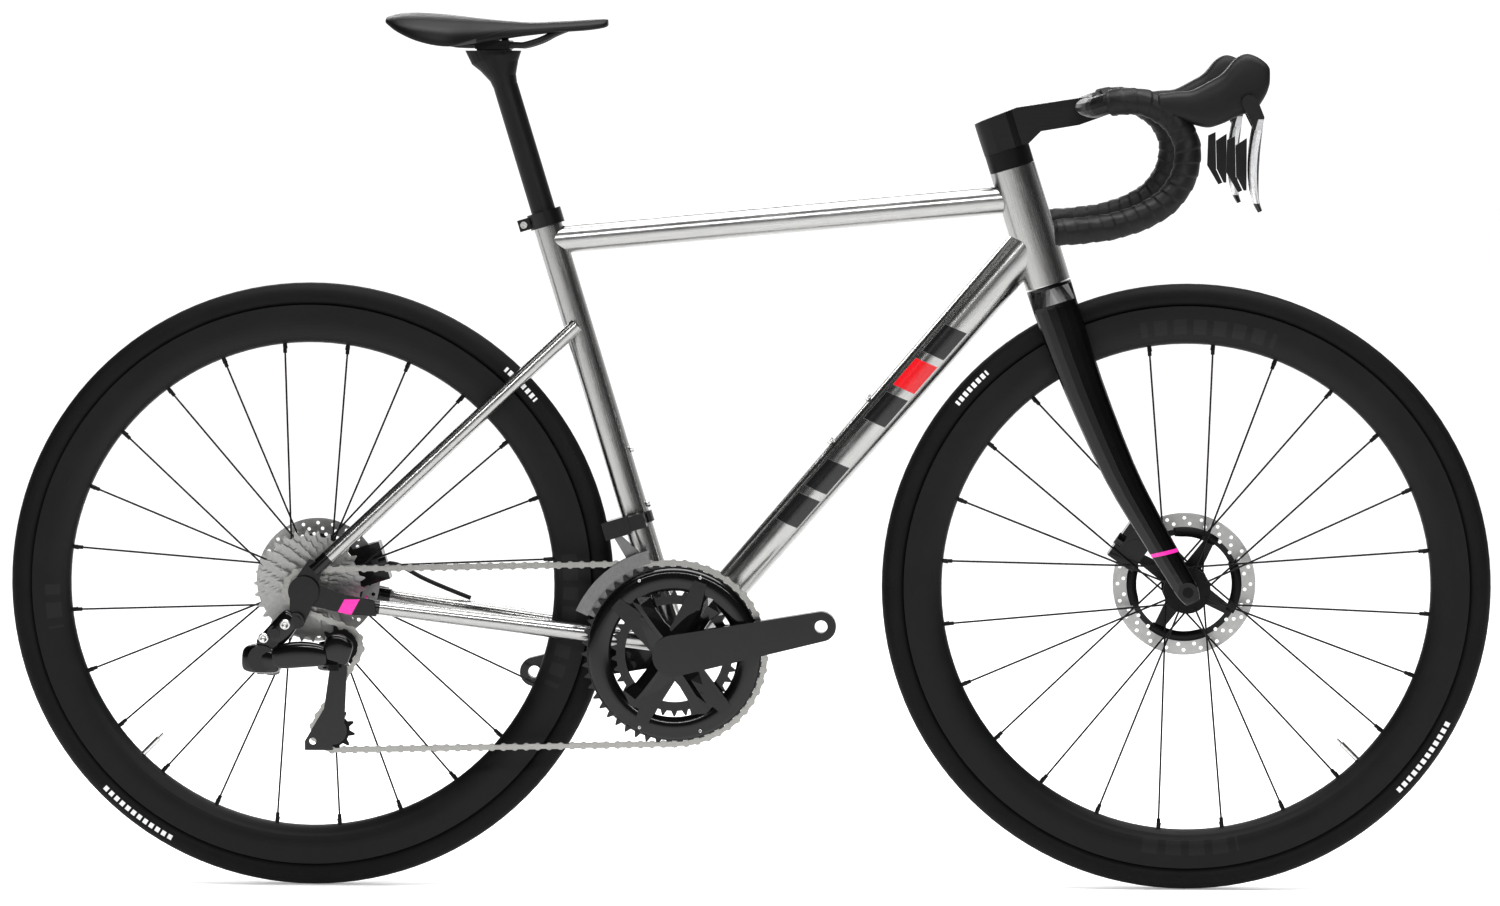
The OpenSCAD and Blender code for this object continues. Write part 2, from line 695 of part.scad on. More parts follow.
// Rear derailleur. Its link turns about a slanted axis, so the cage drops as it moves in
slant = 31;
link_r = 6.5;
knuckle_y = -small_sprocket_y - 20;
knuckle_pin = [rear_x + 24, knuckle_y, axle_z - 72];
link_rest = 10;
link_len = 62;
link_vec = link_len * [cos(link_rest), -sin(link_rest) * cos(slant),
    sin(link_rest) * sin(slant)];
body_pin = knuckle_pin - link_vec;
module slanted(p) {
    translate(p) rotate([-slant, 0, 0]) children();
}
pin_half = 9;
fork_gap = 0.3;
module rear_derailleur_body() {
    color("black") difference() {
        union() {
            drive_side(rear_x, axle_z) translate([0, 0, hanger_y + hanger_t + 0.05])
                linear_extrude(6) {
                    translate([-8, -32]) circle(r = 9);
                    translate([-31, -46]) circle(r = 9);
                    polygon([[-8, -23], [-8, -41], [-31, -55], [-31, -37]]);
                    polygon([[-40, -46], [-22, -46], [-30, -62], [-48, -62]]);
                }
            slanted(body_pin) for (z = [-pin_half - 5, pin_half + fork_gap])
                translate([0, 0, z]) cylinder(h = 5 - fork_gap, r = 10);
            slanted(body_pin) translate([-16, -8, -pin_half - 5])
                cube([8, 16, 2 * pin_half + 10]);
            drive_side(rear_x - 46, axle_z - 74) translate([0, 0, hanger_y - 2])
                cylinder(h = 18, r = 15);
        }
        slanted(body_pin) translate([0, 0, -pin_half]) cylinder(h = 2 * pin_half + fork_gap, r = 11);
        slanted(body_pin) translate([0, 0, -30]) cylinder(h = 60, r = link_pin_r + run);
        slanted(body_pin) translate([0, -11, -pin_half]) cube([40, 22, 2 * pin_half + fork_gap]);
    }
    color("silver") drive_side(rear_x, axle_z)
        for (p = [[-8, -32], [-31, -46]])
            translate([p.x, p.y, hanger_y + hanger_t + 6.1]) cylinder(h = 2, r = 5.5);
}
link_pin_r = 2.5;
module rear_derailleur_link() {
    turn = atan2(link_vec * [0, cos(slant), -sin(slant)], link_vec.x);
    color("black") slanted(body_pin) rotate(turn) {
        difference() {
            translate([0, 0, -pin_half + fork_gap]) linear_extrude(2 * pin_half - 2 * fork_gap) {
                circle(r = link_r);
                translate([link_len, 0]) circle(r = link_r);
                translate([0, -3]) square([link_len, 6]);
            }
        }
        for (x = [0, link_len]) translate([x, 0, -pin_half - 4])
            cylinder(h = 2 * pin_half + 8, r = link_pin_r);
    }
}
cage_pin_r = 5;
cage_y = small_sprocket_y + 5.2;
cage_t = 2;
module rear_derailleur_knuckle() {
    color("black") difference() {
        union() {
            slanted(knuckle_pin) for (z = [-pin_half - 5, pin_half + fork_gap])
                translate([0, 0, z]) cylinder(h = 5 - fork_gap, r = 8);
            slanted(knuckle_pin) translate([8.5, -8, -pin_half - 5])
                cube([6, 16, 2 * pin_half + 10]);
            slanted(knuckle_pin) for (z = [-pin_half - 5, pin_half + fork_gap])
                translate([0, -8, z]) cube([10, 16, 5 - fork_gap]);
            drive_side(knuckle_at[0], knuckle_at[1])
                translate([0, 0, cage_y + cage_t + 0.1]) cylinder(h = 19, r = 11);
        }
        slanted(knuckle_pin) translate([0, 0, -pin_half])
            cylinder(h = 2 * pin_half + fork_gap, r = 8.5);
        slanted(knuckle_pin) translate([0, 0, -30]) cylinder(h = 60, r = link_pin_r + run);
        drive_side(knuckle_at[0], knuckle_at[1]) translate([0, 0, cage_y + cage_t - past])
            cylinder(h = 17, r = cage_pin_r + run);
        translate([rear_x - 50, air - cage_y - cage_t, 0]) cube([200, bb_shell_w, axle_z]);
    }
}
cage_half_out = small_sprocket_y + 4.2;
jockey_bolt_r = 2.5;
module cage_outline(r1, r2) {
    t = tension_xz - guide_at;
    circle(r = r1);
    translate(t) circle(r = r2);
    n = unit([t[1], -t[0]]);
    polygon([r1 * 0.7 * n, t + r2 * 0.8 * n, t - r2 * 0.8 * n, -r1 * 0.7 * n]);
}
module rear_derailleur_cage() {
    color("black") drive_side(guide_at[0], guide_at[1]) {
        difference() {
            union() {
                translate([0, 0, cage_half_out]) linear_extrude(cage_t) {
                    cage_outline(12, 16);
                    translate(tension_xz - guide_at) translate([-31, -22]) square([31, 8]);
                    translate(tension_xz - guide_at)
                        polygon([[-31, -22], [-31, -12], [-6, 30], [0, 0], [0, -22]]);
                }
                translate([0, 0, 2 * small_sprocket_y - cage_half_out - cage_t])
                    linear_extrude(cage_t) cage_outline(11, 13);
                translate([knuckle_at[0] - guide_at[0], knuckle_at[1] - guide_at[1],
                    cage_half_out]) cylinder(h = 13, r = cage_pin_r);
                for (p = [[0, 0], tension_xz - guide_at])
                    translate([p[0], p[1], 2 * small_sprocket_y - cage_half_out - cage_t])
                        cylinder(h = 2 * (cage_half_out - small_sprocket_y) + 2 * cage_t,
                            r = jockey_bolt_r);
            }
            translate([tension_xz[0] - guide_at[0] - 22, tension_xz[1] - guide_at[1] - 12,
                cage_half_out - past]) cylinder(h = 2 * past, r = 4);
        }
    }
}
module jockey(k) {
    color("black") drive_side(wheels[k][0], wheels[k][1]) difference() {
        translate([0, 0, small_sprocket_y - sprocket_t / 2]) union() {
            linear_extrude(sprocket_t) teeth_outline(jockey_teeth, roller_angle(k));
            translate([0, 0, -1.6]) cylinder(h = sprocket_t + 3.2, r = 9);
        }
        cylinder(h = rear_old, r = jockey_bolt_r + run);
    }
}
module guide_pulley() { jockey(3); }
module tension_pulley() { jockey(2); }

// Front derailleur: band and motor on the seat tube, sliding cage round the chain
fd_s = 152;
fd_y = 40;
guide_r = pitch_r(ring_teeth) + tooth_h + 1.5;
guide_top = pitch_r(ring_teeth) + 14;
module front_derailleur_body() {
    color("black") difference() {
        on_seat_tube() {
            translate([0, 0, fd_s - 6]) cylinder(h = 12, r = seat_tube_d / 2 + 3);
            translate([-20, -fd_y - 8, fd_s - 8]) cube([32, 36, 16]);
            translate([-36, -fd_y - 10, fd_s - 10]) cube([30, 24, 20]);
        }
        seat_tube_space();
    }
}
module fd_sector(y, t, r_low, r_high, a0, a1) {
    drive_side(bb_x, bb_z) translate([0, 0, y]) linear_extrude(t)
        polygon(concat([for (i = [0:12]) let (a = a0 + (a1 - a0) * i / 12)
            r_high * [cos(a), sin(a)]], [for (i = [12:-1:0]) let (a = a0 + (a1 - a0) * i / 12)
            r_low * [cos(a), sin(a)]]));
}
module front_derailleur_cage() {
    color("silver") {
        fd_sector(ring_y + 6.5, 1.4, guide_r, guide_top + 4, 104, 156);
        fd_sector(ring_y - 6.4, 1.4, guide_r - 8, guide_top + 4, 104, 156);
        fd_sector(ring_y - 5.5, 12.5, guide_top + 1, guide_top + 4, 104, 110);
        fd_sector(ring_y - 5.5, 12.5, guide_top + 1, guide_top + 4, 149, 156);
        drive_side(bb_x, bb_z) translate([0, 0, fd_y - 2]) linear_extrude(6)
            polygon([[-38, 112], [-52, 104], [-66, 127.6], [-58, 130]]);
    }
}

// ---------- Wheels ----------

module tyre(x) {
    color("black") translate([x, 0, axle_z]) rotate([90, 0, 0]) rotate_extrude($fn = 128)
        difference() {
            union() {
                translate([tyre_r - tyre_w / 2, 0]) circle(r = tyre_w / 2);
                translate([bead_r + 0.3, -9.2]) square([5, 18.4]);
            }
            translate([tyre_r - tyre_w / 2, 0]) circle(r = tyre_w / 2 - 2.2);
            translate([bead_r - past, -7]) square([2 * past + 1, 14]);
            translate([bead_r - 20, -20]) square([20.3, 40]);
        }
}
rim_flat = 14;
function rim_half(r) = rim_w / 2 * pow(max(0, 1 - pow((rim_top_r - rim_flat - r)
    / (rim_depth - rim_flat), 2.4)), 1 / 2.2);
rim_steps = [for (i = [0:9]) rim_in_r + (rim_depth - rim_flat) * (1 - cos(9 * i))];
module rim(x) {
    outline = concat([for (r = rim_steps) [r, rim_half(r)]],
        [[rim_top_r - rim_flat, rim_w / 2], [rim_top_r, rim_w / 2],
         [rim_top_r, 9.8], [bead_r, 9.8], [bead_r, 0]]);
    color("dimgray") translate([x, 0, axle_z]) rotate([90, 0, 0]) rotate_extrude($fn = 128)
        difference() {
            for (m = [0, 1]) mirror([0, m]) polygon(concat([[rim_in_r, 0]], outline));
            translate([bead_r - 14, 0]) circle(r = 7);
        }
}

// Spokes: in each group two cross on one flange and one runs straight to the other
nipple_l = 10;
nipple_r = 2.1;
function rim_point(g) = [(rim_in_r - 0.3) * sin(g), (rim_in_r - 0.3) * cos(g)];
function hub_point(g) = [flange_r * sin(g), flange_r * cos(g)];
module spoke(x, g, h, y) {
    p = [x + rim_point(g)[0], 0, axle_z + rim_point(g)[1]];
    q = [x + hub_point(h)[0], y, axle_z + hub_point(h)[1]];
    strut(q, p, spoke_r, spoke_r);
    strut(p + nipple_l * unit(q - p), p, nipple_r, nipple_r);
}
cross_lead = 46;
flange_t = 3;
spoke_off = 3.1;
module spokes(x, phase, cross_y, plain_y) {
    step = 360 / spoke_groups;
    color("black") for (i = [0:spoke_groups - 1]) {
        g = phase + i * step;
        spoke(x, g - step / 3, g + cross_lead, cross_y + spoke_off);
        spoke(x, g + step / 3, g - cross_lead, cross_y - spoke_off);
        spoke(x, g, g, plain_y + (plain_y > 0 ? spoke_off : -spoke_off));
    }
}
front_flange = 25;
rear_disc_flange = 36;
rear_drive_flange = 14;
rotor_flange_r = 17;
module hub(x, y_left, y_right, rotor, end_left, end_right) {
    color("black") about(x, axle_z) difference() {
        union() {
            translate([0, 0, end_right]) cylinder(h = end_left - end_right, r = 9.5);
            translate([0, 0, y_right]) cylinder(h = y_left - y_right, r = 13);
            for (y = [y_left, y_right]) translate([0, 0, y - flange_t / 2])
                cylinder(h = flange_t, r = flange_r + 4);
            translate([0, 0, y_left]) cylinder(h = rotor - 2 - y_left, r = rotor_flange_r);
            translate([0, 0, rotor - 2.1]) cylinder(h = 5, r = rotor_seat_r - seat);
        }
        translate([0, 0, -rear_old]) cylinder(h = 2 * rear_old, r = axle_r + run);
    }
}
rotor_seat_r = 15;
module rotor(x, y, d) {
    r = d / 2;
    color("silver") about(x, axle_z) translate([0, 0, y - rotor_t / 2])
        linear_extrude(rotor_t) difference() {
            union() {
                difference() {
                    circle(r = r);
                    circle(r = r - 24);
                    for (i = [0:23], k = [0:2]) rotate(15 * i + 5 * k)
                        translate([r - 5.5 - 6.2 * k, 0]) circle(r = 2.1, $fn = 24);
                }
                for (a = [0:90:270]) rotate(a + 20)
                    polygon([[10, -11], [r - 20, 6], [r - 20, 16], [10, 11]]);
                circle(r = 20);
            }
            circle(r = rotor_seat_r);
        }
}
valve_r = 3;
module valve(x, clock) {
    d = [sin(clock), 0, cos(clock)];
    c = [x, 0, axle_z];
    color("silver") {
        strut(c + (rim_in_r - 25) * d, c + (rim_in_r - 0.3) * d, valve_r, valve_r);
        strut(c + (rim_in_r - 32) * d, c + (rim_in_r - 25) * d, 1.6, 1.6);
    }
}
front_rotor_y = front_old / 2 - 10.5;
rear_rotor_y = drop_in - 15;
hub_gap = 0.3;
module front_tyre() { tyre(front_x); }
module rear_tyre() { tyre(rear_x); }
module front_rim() { rim(front_x); }
module rear_rim() { rim(rear_x); }
module front_spokes() { spokes(front_x, 21.1, front_flange, -front_flange - 8); }
module rear_spokes() { spokes(rear_x, -21.2, -rear_drive_flange, rear_disc_flange); }
module front_hub() {
    hub(front_x, front_flange, -front_flange - 8, front_rotor_y,
        front_old / 2 - hub_gap, -front_old / 2 + hub_gap);
}
module rear_hub() {
    hub(rear_x, rear_disc_flange, -rear_drive_flange, rear_rotor_y,
        drop_in - hub_gap, -freehub_y + hub_gap);
}
module front_rotor() { rotor(front_x, front_rotor_y, front_rotor_d); }
module rear_rotor() { rotor(rear_x, rear_rotor_y, rear_rotor_d); }
module front_valve() { valve(front_x, 135); }
module rear_valve() { valve(rear_x, -135); }

// ---------- Brakes ----------

// A caliper straddles its rotor; local X points outwards from the axle
caliper_half = 13.5;
caliper_len = 44;
pad_t = 3.4;
slot_half = rotor_t / 2 + pad_gap + pad_t + 0.1;
module caliper(x, y, d, angle) {
    r = d / 2;
    about(x, axle_z) rotate(-angle) translate([0, 0, y]) {
        color("black") difference() {
            union() {
                translate([r - 24, -caliper_len / 2, -caliper_half])
                    cube([34, caliper_len, 2 * caliper_half]);
                translate([r - 12, 0, -caliper_half - 1]) cylinder(h = 2 * caliper_half + 2, r = 12);
                translate([r - 4, 0, -caliper_half]) rotate([0, 90, 0]) translate([0, 0, 8])
                    cylinder(h = 9, r = 7);
            }
            translate([0, -caliper_len, -slot_half]) cube([r + 4, 2 * caliper_len, 2 * slot_half]);
        }
        color("dimgray") for (side = [0, 1]) mirror([0, 0, side])
            translate([r - 23, -12, rotor_t / 2 + pad_gap]) cube([22, 24, pad_t]);
    }
}
front_caliper_angle = 145;
rear_caliper_angle = 17;
module front_caliper() {
    difference() {
        caliper(front_x, front_rotor_y, front_rotor_d, front_caliper_angle);
        steer() fork_blade(0.3);
    }
    color("black") difference() {
        about(front_x, axle_z) rotate(-front_caliper_angle)
            translate([front_rotor_d / 2 - 8, 12, front_rotor_y + 5.3]) cube([16, 36, 8]);
        steer() fork_blade(0.1);
        about(front_x, axle_z) rotate(-front_caliper_angle)
            translate([0, -caliper_len / 2, 0])
            cube([front_rotor_d, caliper_len + 0.1, rear_old]);
    }
}
module rear_caliper() {
    color("black") difference() {
        caliper(rear_x, rear_rotor_y, rear_rotor_d, rear_caliper_angle);
        stay_space();
    }
}
module stay_space() {
    strut(stay_start, stay_tail, chainstay_d / 2 + 0.1, stay_d / 2 + 1.2);
}
hose_r = 2.5;
module rear_brake_hose() {
    r = rear_rotor_d / 2;
    a = rear_caliper_angle;
    start = [rear_x + (r - 2) * cos(a) + 24 * sin(a), rear_rotor_y,
        axle_z + (r - 2) * sin(a) - 24 * cos(a)];
    on_stay = stay_stop + (stay_start - stay_stop) * 0.28;
    path = spline([start + [8, 0, 22], start + [22, -2, 19], start + [46, -4, 6],
        start + [74, -6, -6], on_stay + [0, 0, 11.8]], 5);
    color("black") sweep(path, same(path, hose_r), sides = 8);
}

// ---------- Fork and handlebar, in the steering axis's own frame ----------

blade_path = [[0, 31, crown_s - 21], [4, 36, crown_s - 116], [14, 43, 150], [28, 49.5, 80],
    [fork_rake - 6, front_old / 2 + 4, 25], [fork_rake, front_old / 2 + 5, 0],
    [fork_rake + 2, front_old / 2 + 5, -13]];
blade_size = [[25, 11], [22, 10.5], [18.5, 9], [15.5, 7], [13.5, 5.5], [12.5, 5], [8, 4]];
module fork_blade(grow) {
    sweep(spline(blade_path, 3), [for (q = spline(blade_size, 3)) [q[0] + grow, q[1] + grow]],
        sides = 16);
}
cover_h = 21;
stem_s = head_top_s + cover_h + 0.2;
module fork() {
    color("black") steer() difference() {
        union() {
            translate([0, 0, crown_s - 20])
                cylinder(h = head_top_s - crown_s + 20 + 52, r = steerer_r);
            translate([0, 0, crown_s - 3]) cylinder(h = 4, r = head_tube_d / 2);
            hull() {
                translate([0, 0, crown_s - 5]) cylinder(h = 3, r = head_tube_d / 2, $fn = 32);
                for (y = [-31, 31]) translate([0, y, crown_s - 23]) scale([2.27, 1, 1])
                    cylinder(h = 4, r = 11, $fn = 32);
            }
            pair() fork_blade(0);
            pair() translate([fork_rake, front_old / 2, 0]) rotate([-90, 0, 0])
                cylinder(h = 10, r = 11);
        }
        translate([fork_rake, 0, 0]) rotate([90, 0, 0])
            cylinder(h = 2 * front_old, r = axle_r + seat, center = true);
        pair() translate([fork_rake - 40, front_old / 2 - 40, -60]) cube([80, 40, 90]);
    }
}
module front_axle() {
    color("dimgray") about(front_x, axle_z) difference() {
        union() {
            translate([0, 0, -front_old / 2 - 10]) cylinder(h = front_old + 20, r = axle_r);
            translate([0, 0, front_old / 2 + 10.1]) cylinder(h = 3, r = 9);
        }
        translate([0, 0, front_old / 2 + 3]) cylinder(h = 20, r = 3, $fn = 6);
    }
}
module headset_cover() {
    color("black") steer() translate([0, 0, head_top_s + air])
        collar(cover_h - air, head_tube_d / 2 - 0.2, steerer_r + seat);
}

// Centre of the bar's top, and offsets from it in the bicycle's frame
bar_c = on_steer(head_top_s + 39.2) + 102.1 * [cos(head_tilt), 0, sin(head_tilt)];
half_bar = bar_w / 2;
drop_points = [[0, 0, 0], [0, half_bar - 80, 0], [0, half_bar - 35, 0], [5, half_bar - 14, 2],
    [20, half_bar - 4, 6], [45, half_bar, 7], [67, half_bar, 0], [85, half_bar, -14],
    [96, half_bar, -32], [99, half_bar + 1, -49], [96, half_bar + 2, -69],
    [86, half_bar + 3, -89], [70, half_bar + 4, -105], [48, half_bar + 5, -117],
    [20, half_bar + 5, -126], [-10, half_bar + 5, -130.5], [-40, half_bar + 5, -133]];
bar_path = [for (p = spline(drop_points, 3)) bar_c + p];
bar_r = bar_d / 2;
flat_points = [[17, 11], [19, 10.5], [17, 11], [bar_r + 1, bar_r]];
bar_size = concat(spline(flat_points, 3),
    [for (i = [10:len(bar_path) - 1]) [bar_r, bar_r]]);
tape_start = 11;
tape_path = [for (i = [tape_start:len(bar_path) - 1]) bar_path[i]];
stem_outline = [[-25.5, cover_h], [-26.4, 58.3], [-17.5, 59.7], [24, 62.5], [102.4, 50.6],
    [119, 44], [114, 25], [84.3, 23.8], [42, 29.7], [25.5, cover_h]];
module handlebar() {
    color("black") {
        steer() difference() {
            intersection() {
                translate([0, 0, head_top_s + 0.2]) rotate([90, 0, 0])
                    linear_extrude(48, center = true) polygon(stem_outline);
                union() {
                    translate([0, 0, stem_s]) cylinder(h = 60, r = 26);
                    translate([0, -19, stem_s - 1]) cube([160, 38, 80]);
                }
            }
            translate([0, 0, stem_s - past])
                cylinder(h = 52 - cover_h + past, r = steerer_r + seat);
        }
        pair() sweep(bar_path, bar_size, v = [0, 0, 1], sides = 16);
    }
}
module bar_tape() {
    color("black") pair() sleeve(tape_path, tape_d / 2, bar_r + soft, v = [0, 0, 1], sides = 16);
}
bar_end = bar_path[len(bar_path) - 1];
bar_out = unit(bar_end - bar_path[len(bar_path) - 2]);
module bar_end_plugs() {
    color("black") pair() strut(bar_end + 0.2 * bar_out, bar_end + 3.2 * bar_out,
        tape_d / 2 - 0.5, tape_d / 2 - 1.5);
}

// Hoods: sections run forwards as [ahead, bottom, top, half width]
hood_sections = [[66, -8, 15, 14.5], [85, -12, 17.5, 15.5], [102, -17, 19, 16],
    [120, -21, 28, 16], [135, -17, 37, 16], [148, -11, 52, 15.5], [160, -6, 58, 15],
    [172, -1, 55, 14], [182, 14, 48, 12], [186, 26, 42, 9]];
hood_y = half_bar;
lever_pivot = [163.7, 6.4];
lever_pin_r = 2.5;
module at_hood() {
    translate([bar_c.x, hood_y, bar_c.z]) children();
}
module hood_shape() {
    at_hood() loft([for (s = hood_sections)
        let (m = (s[1] + s[2]) / 2, h = (s[2] - s[1]) / 2)
        [for (j = [0:15]) let (a = 360 * j / 16)
            [s[0], s[3] * sign(cos(a)) * pow(abs(cos(a)), 0.75),
             m + h * sign(sin(a)) * pow(abs(sin(a)), 0.75)]]]);
}
module brake_hoods() {
    color("black") pair() difference() {
        hood_shape();
        sweep(bar_path, [for (p = bar_path) [tape_d / 2 + soft, tape_d / 2 + soft]],
            v = [0, 0, 1], sides = 16);
        at_hood() translate([lever_pivot.x, 0, lever_pivot.y]) rotate([90, 0, 0])
            cylinder(h = 80, r = lever_pin_r + run, center = true);
    }
}
ear_in = 15.6;
ear_t = 2.4;
module brake_lever() {
    at_hood() translate([lever_pivot.x, 0, lever_pivot.y]) {
        for (m = [0, 1]) mirror([0, m, 0]) translate([0, ear_in + ear_t, 0])
            rotate([90, 0, 0]) linear_extrude(ear_t) {
                circle(r = 8);
                polygon([[-7, -4], [6, -30], [14, -30], [16, -16], [8, 4]]);
            }
        translate([5, -ear_in - 1, -30]) cube([9, 2 * ear_in + 2, 12]);
        rotate([90, 0, 0]) cylinder(h = 2 * ear_in + 2, r = lever_pin_r, center = true);
        sweep(spline([[10, 0, -24], [6.5, 0, -50], [5.5, 0, -80], [8, 0, -104], [13, 0, -117]], 4),
            spline([[6, 9], [6.5, 8], [6, 7], [4, 6], [2.5, 5]], 4), sides = 12);
    }
}
module right_brake_lever() { color("dimgray") mirror([0, 1, 0]) brake_lever(); }
module left_brake_lever() { color("dimgray") brake_lever(); }
button_t = 3;
module button(outline) {
    at_hood() translate([0, button_t / 2, 0]) rotate([90, 0, 0]) linear_extrude(button_t)
        polygon(outline);
}
upshift_outline = [[162, -32], [162, -88], [159, -88], [151, -72], [150, -40]];
downshift_outline = [[149.3, -30], [150.3, -73], [157.5, -88], [153, -90], [140, -68], [141, -34]];
module right_upshift_button() { color("gray") mirror([0, 1, 0]) button(upshift_outline); }
module left_upshift_button() { color("gray") button(upshift_outline); }
module right_downshift_button() { color("gray") mirror([0, 1, 0]) button(downshift_outline); }
module left_downshift_button() { color("gray") button(downshift_outline); }

// ---------- Seat ----------

post_top = on_seat(seat_tube_len + post_out);
module seatpost() {
    s = seat_tube_len + post_out;
    color("black") {
        on_seat_tube() translate([0, 0, seat_tube_len - post_in])
            cylinder(h = post_in + post_out - 40, r = post_d / 2);
        difference() {
            sweep([on_seat(s - 42), on_seat(s - 30), on_seat(s - 16), on_seat(s - 6),
                on_seat(s + 12)], [[13, 13], [15, 13], [22, 13], [29, 13], [32, 13]],
                sides = 24);
            translate(post_top + [-60, -60, 1.4]) cube([120, 120, 60]);
        }
    }
}
rail_z = 7.5;
rail_r = rail_d / 2;
rail_y = rail_gap / 2;
module rail_channels() {
    pair() translate([0, rail_y, rail_z]) rotate([0, 90, 0])
        cylinder(h = 100, r = rail_r + seat, center = true);
}
module saddle_clamp() {
    color("black") translate(post_top) difference() {
        union() {
            translate([-20, -rail_y - 6, 3]) cube([38, 2 * rail_y + 12, rail_z - 3.1]);
            translate([-20, -rail_y - 6, rail_z + 0.1]) cube([38, 2 * rail_y + 12, 5]);
            translate([-20, -9, 1.5]) cube([38, 18, 3]);
        }
        rail_channels();
    }
    color("silver") translate(post_top) for (x = [-13, 11])
        translate([x, 0, rail_z + 5.2]) cylinder(h = 4, r = 4);
}
saddle_k = saddle_len / 245;
module saddle_rails() {
    path = spline([[-84 * saddle_k, rail_y + 8, 27.2], [-70 * saddle_k, rail_y + 5, 18],
        [-46, rail_y + 1, 9], [-30, rail_y, rail_z], [-24, rail_y, rail_z],
        [22, rail_y, rail_z], [34, rail_y, rail_z],
        [52, rail_y - 3, 13], [66, rail_y - 8, 20], [79, rail_y - 12, 25.2]], 4);
    color("black") translate(post_top) pair()
        sweep(path, same(path, rail_r - 0.05), v = [0, 0, 1], sides = 12);
}
saddle_sections = [[-119, 42, 39, 33], [-104, 60, 43, 22], [-79, 70, 44, 11], [-49, 69, 42, 5.5],
    [-19, 52, 38.5, 9], [11, 36, 35.5, 15], [41, 27, 33.5, 19], [71, 22, 34, 22],
    [101, 19, 35.5, 24], [121, 14, 36.5, 27], [126, 8, 36, 30]];
module saddle() {
    color("black") translate(post_top) loft([for (s = saddle_sections)
        let (x = s[0] * saddle_k, w = s[1] * saddle_w / 141)
        concat([for (a = [0:15:180])
            [x, w * cos(a), s[3] + (s[2] - s[3]) * pow(sin(a), 0.7)]],
            [for (a = [180:-15:0])
            [x, (w - 4) * cos(a), s[3] - 0.5 + (s[2] - s[3]) * 0.7 * pow(sin(a), 0.7)]])]);
}

head_tube();
top_tube();
down_tube();
seat_tube();
bottom_bracket_shell();
chainstays();
seatstays();
dropouts();
bottom_bracket_cups();
headset_bearings();
seat_clamp();
frame_bolts();
derailleur_hanger();
rear_axle();
rear_derailleur_body();
front_derailleur_body();
rear_caliper();
rear_brake_hose();
chain();
seatpost();
saddle_clamp();
saddle_rails();
saddle();
fork();
front_axle();
handlebar();
headset_cover();
bar_tape();
bar_end_plugs();
brake_hoods();
front_caliper();
front_tyre();
front_rim();
front_spokes();
front_hub();
front_rotor();
front_valve();
rear_tyre();
rear_rim();
rear_spokes();
rear_hub();
rear_rotor();
rear_valve();
cassette();
right_crank();
left_crank();
outer_chainring();
inner_chainring();
right_brake_lever();
left_brake_lever();
right_upshift_button();
right_downshift_button();
left_upshift_button();
left_downshift_button();
front_derailleur_cage();
rear_derailleur_link();
rear_derailleur_knuckle();
rear_derailleur_cage();
guide_pulley();
tension_pulley();
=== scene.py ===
import math

import bmesh
import bpy
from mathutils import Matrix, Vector


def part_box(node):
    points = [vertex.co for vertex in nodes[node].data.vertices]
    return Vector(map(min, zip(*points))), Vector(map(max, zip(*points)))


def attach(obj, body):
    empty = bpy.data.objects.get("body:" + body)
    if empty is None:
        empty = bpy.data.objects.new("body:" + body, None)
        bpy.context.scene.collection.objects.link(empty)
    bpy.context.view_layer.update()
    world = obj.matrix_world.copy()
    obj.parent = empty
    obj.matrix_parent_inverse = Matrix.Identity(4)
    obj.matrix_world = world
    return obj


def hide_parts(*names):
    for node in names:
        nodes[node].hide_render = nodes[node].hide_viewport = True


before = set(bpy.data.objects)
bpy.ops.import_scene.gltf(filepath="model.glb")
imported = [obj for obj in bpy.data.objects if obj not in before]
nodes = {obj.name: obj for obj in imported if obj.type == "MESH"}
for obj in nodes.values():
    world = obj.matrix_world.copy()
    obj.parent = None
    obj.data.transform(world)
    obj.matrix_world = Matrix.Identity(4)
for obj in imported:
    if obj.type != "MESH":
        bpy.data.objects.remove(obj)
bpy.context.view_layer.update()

# Frame tubes: thin-walled steel, welded, brushed along their length and clear coated. The down tube
# carries a row of painted blocks on each side, one of them red.


def start_finish(name):
    finish = bpy.data.materials.new(name)
    finish.use_nodes = True
    return finish, finish.node_tree, finish.node_tree.nodes["Principled BSDF"]


def add(tree, kind, sockets=None, **settings):
    made = tree.nodes.new(kind)
    for key, value in settings.items():
        setattr(made, key, value)
    for key, value in (sockets or {}).items():
        if isinstance(value, bpy.types.NodeSocket):
            tree.links.new(value, made.inputs[key])
        else:
            made.inputs[key].default_value = value
    return made


def calc(tree, operation, *values):
    return add(tree, "ShaderNodeMath", dict(enumerate(values)), operation=operation).outputs[0]


def between(tree, value, low, high, edge):
    rise = add(tree, "ShaderNodeMapRange", {"Value": value, "From Min": low - edge, "From Max": low + edge})
    fall = add(tree, "ShaderNodeMapRange", {"Value": value, "From Min": high - edge, "From Max": high + edge,
                                            "To Min": 1.0, "To Max": 0.0})
    return calc(tree, "MULTIPLY", rise.outputs[0], fall.outputs[0])


def feed(tree, shader, sockets):
    for key, value in sockets.items():
        if isinstance(value, bpy.types.NodeSocket):
            tree.links.new(value, shader.inputs[key])
        else:
            shader.inputs[key].default_value = value


def object_place(tree):
    return add(tree, "ShaderNodeTexCoord").outputs["Object"]


def turned_place(tree, start, direction):
    tilt = math.atan2(direction[2], direction[0])
    moved = add(tree, "ShaderNodeVectorMath", {0: object_place(tree), 1: start}, operation="SUBTRACT")
    turned = add(tree, "ShaderNodeVectorRotate", {"Vector": moved.outputs[0], "Axis": (0, 1, 0),
                                                  "Angle": tilt})
    return turned.outputs[0]


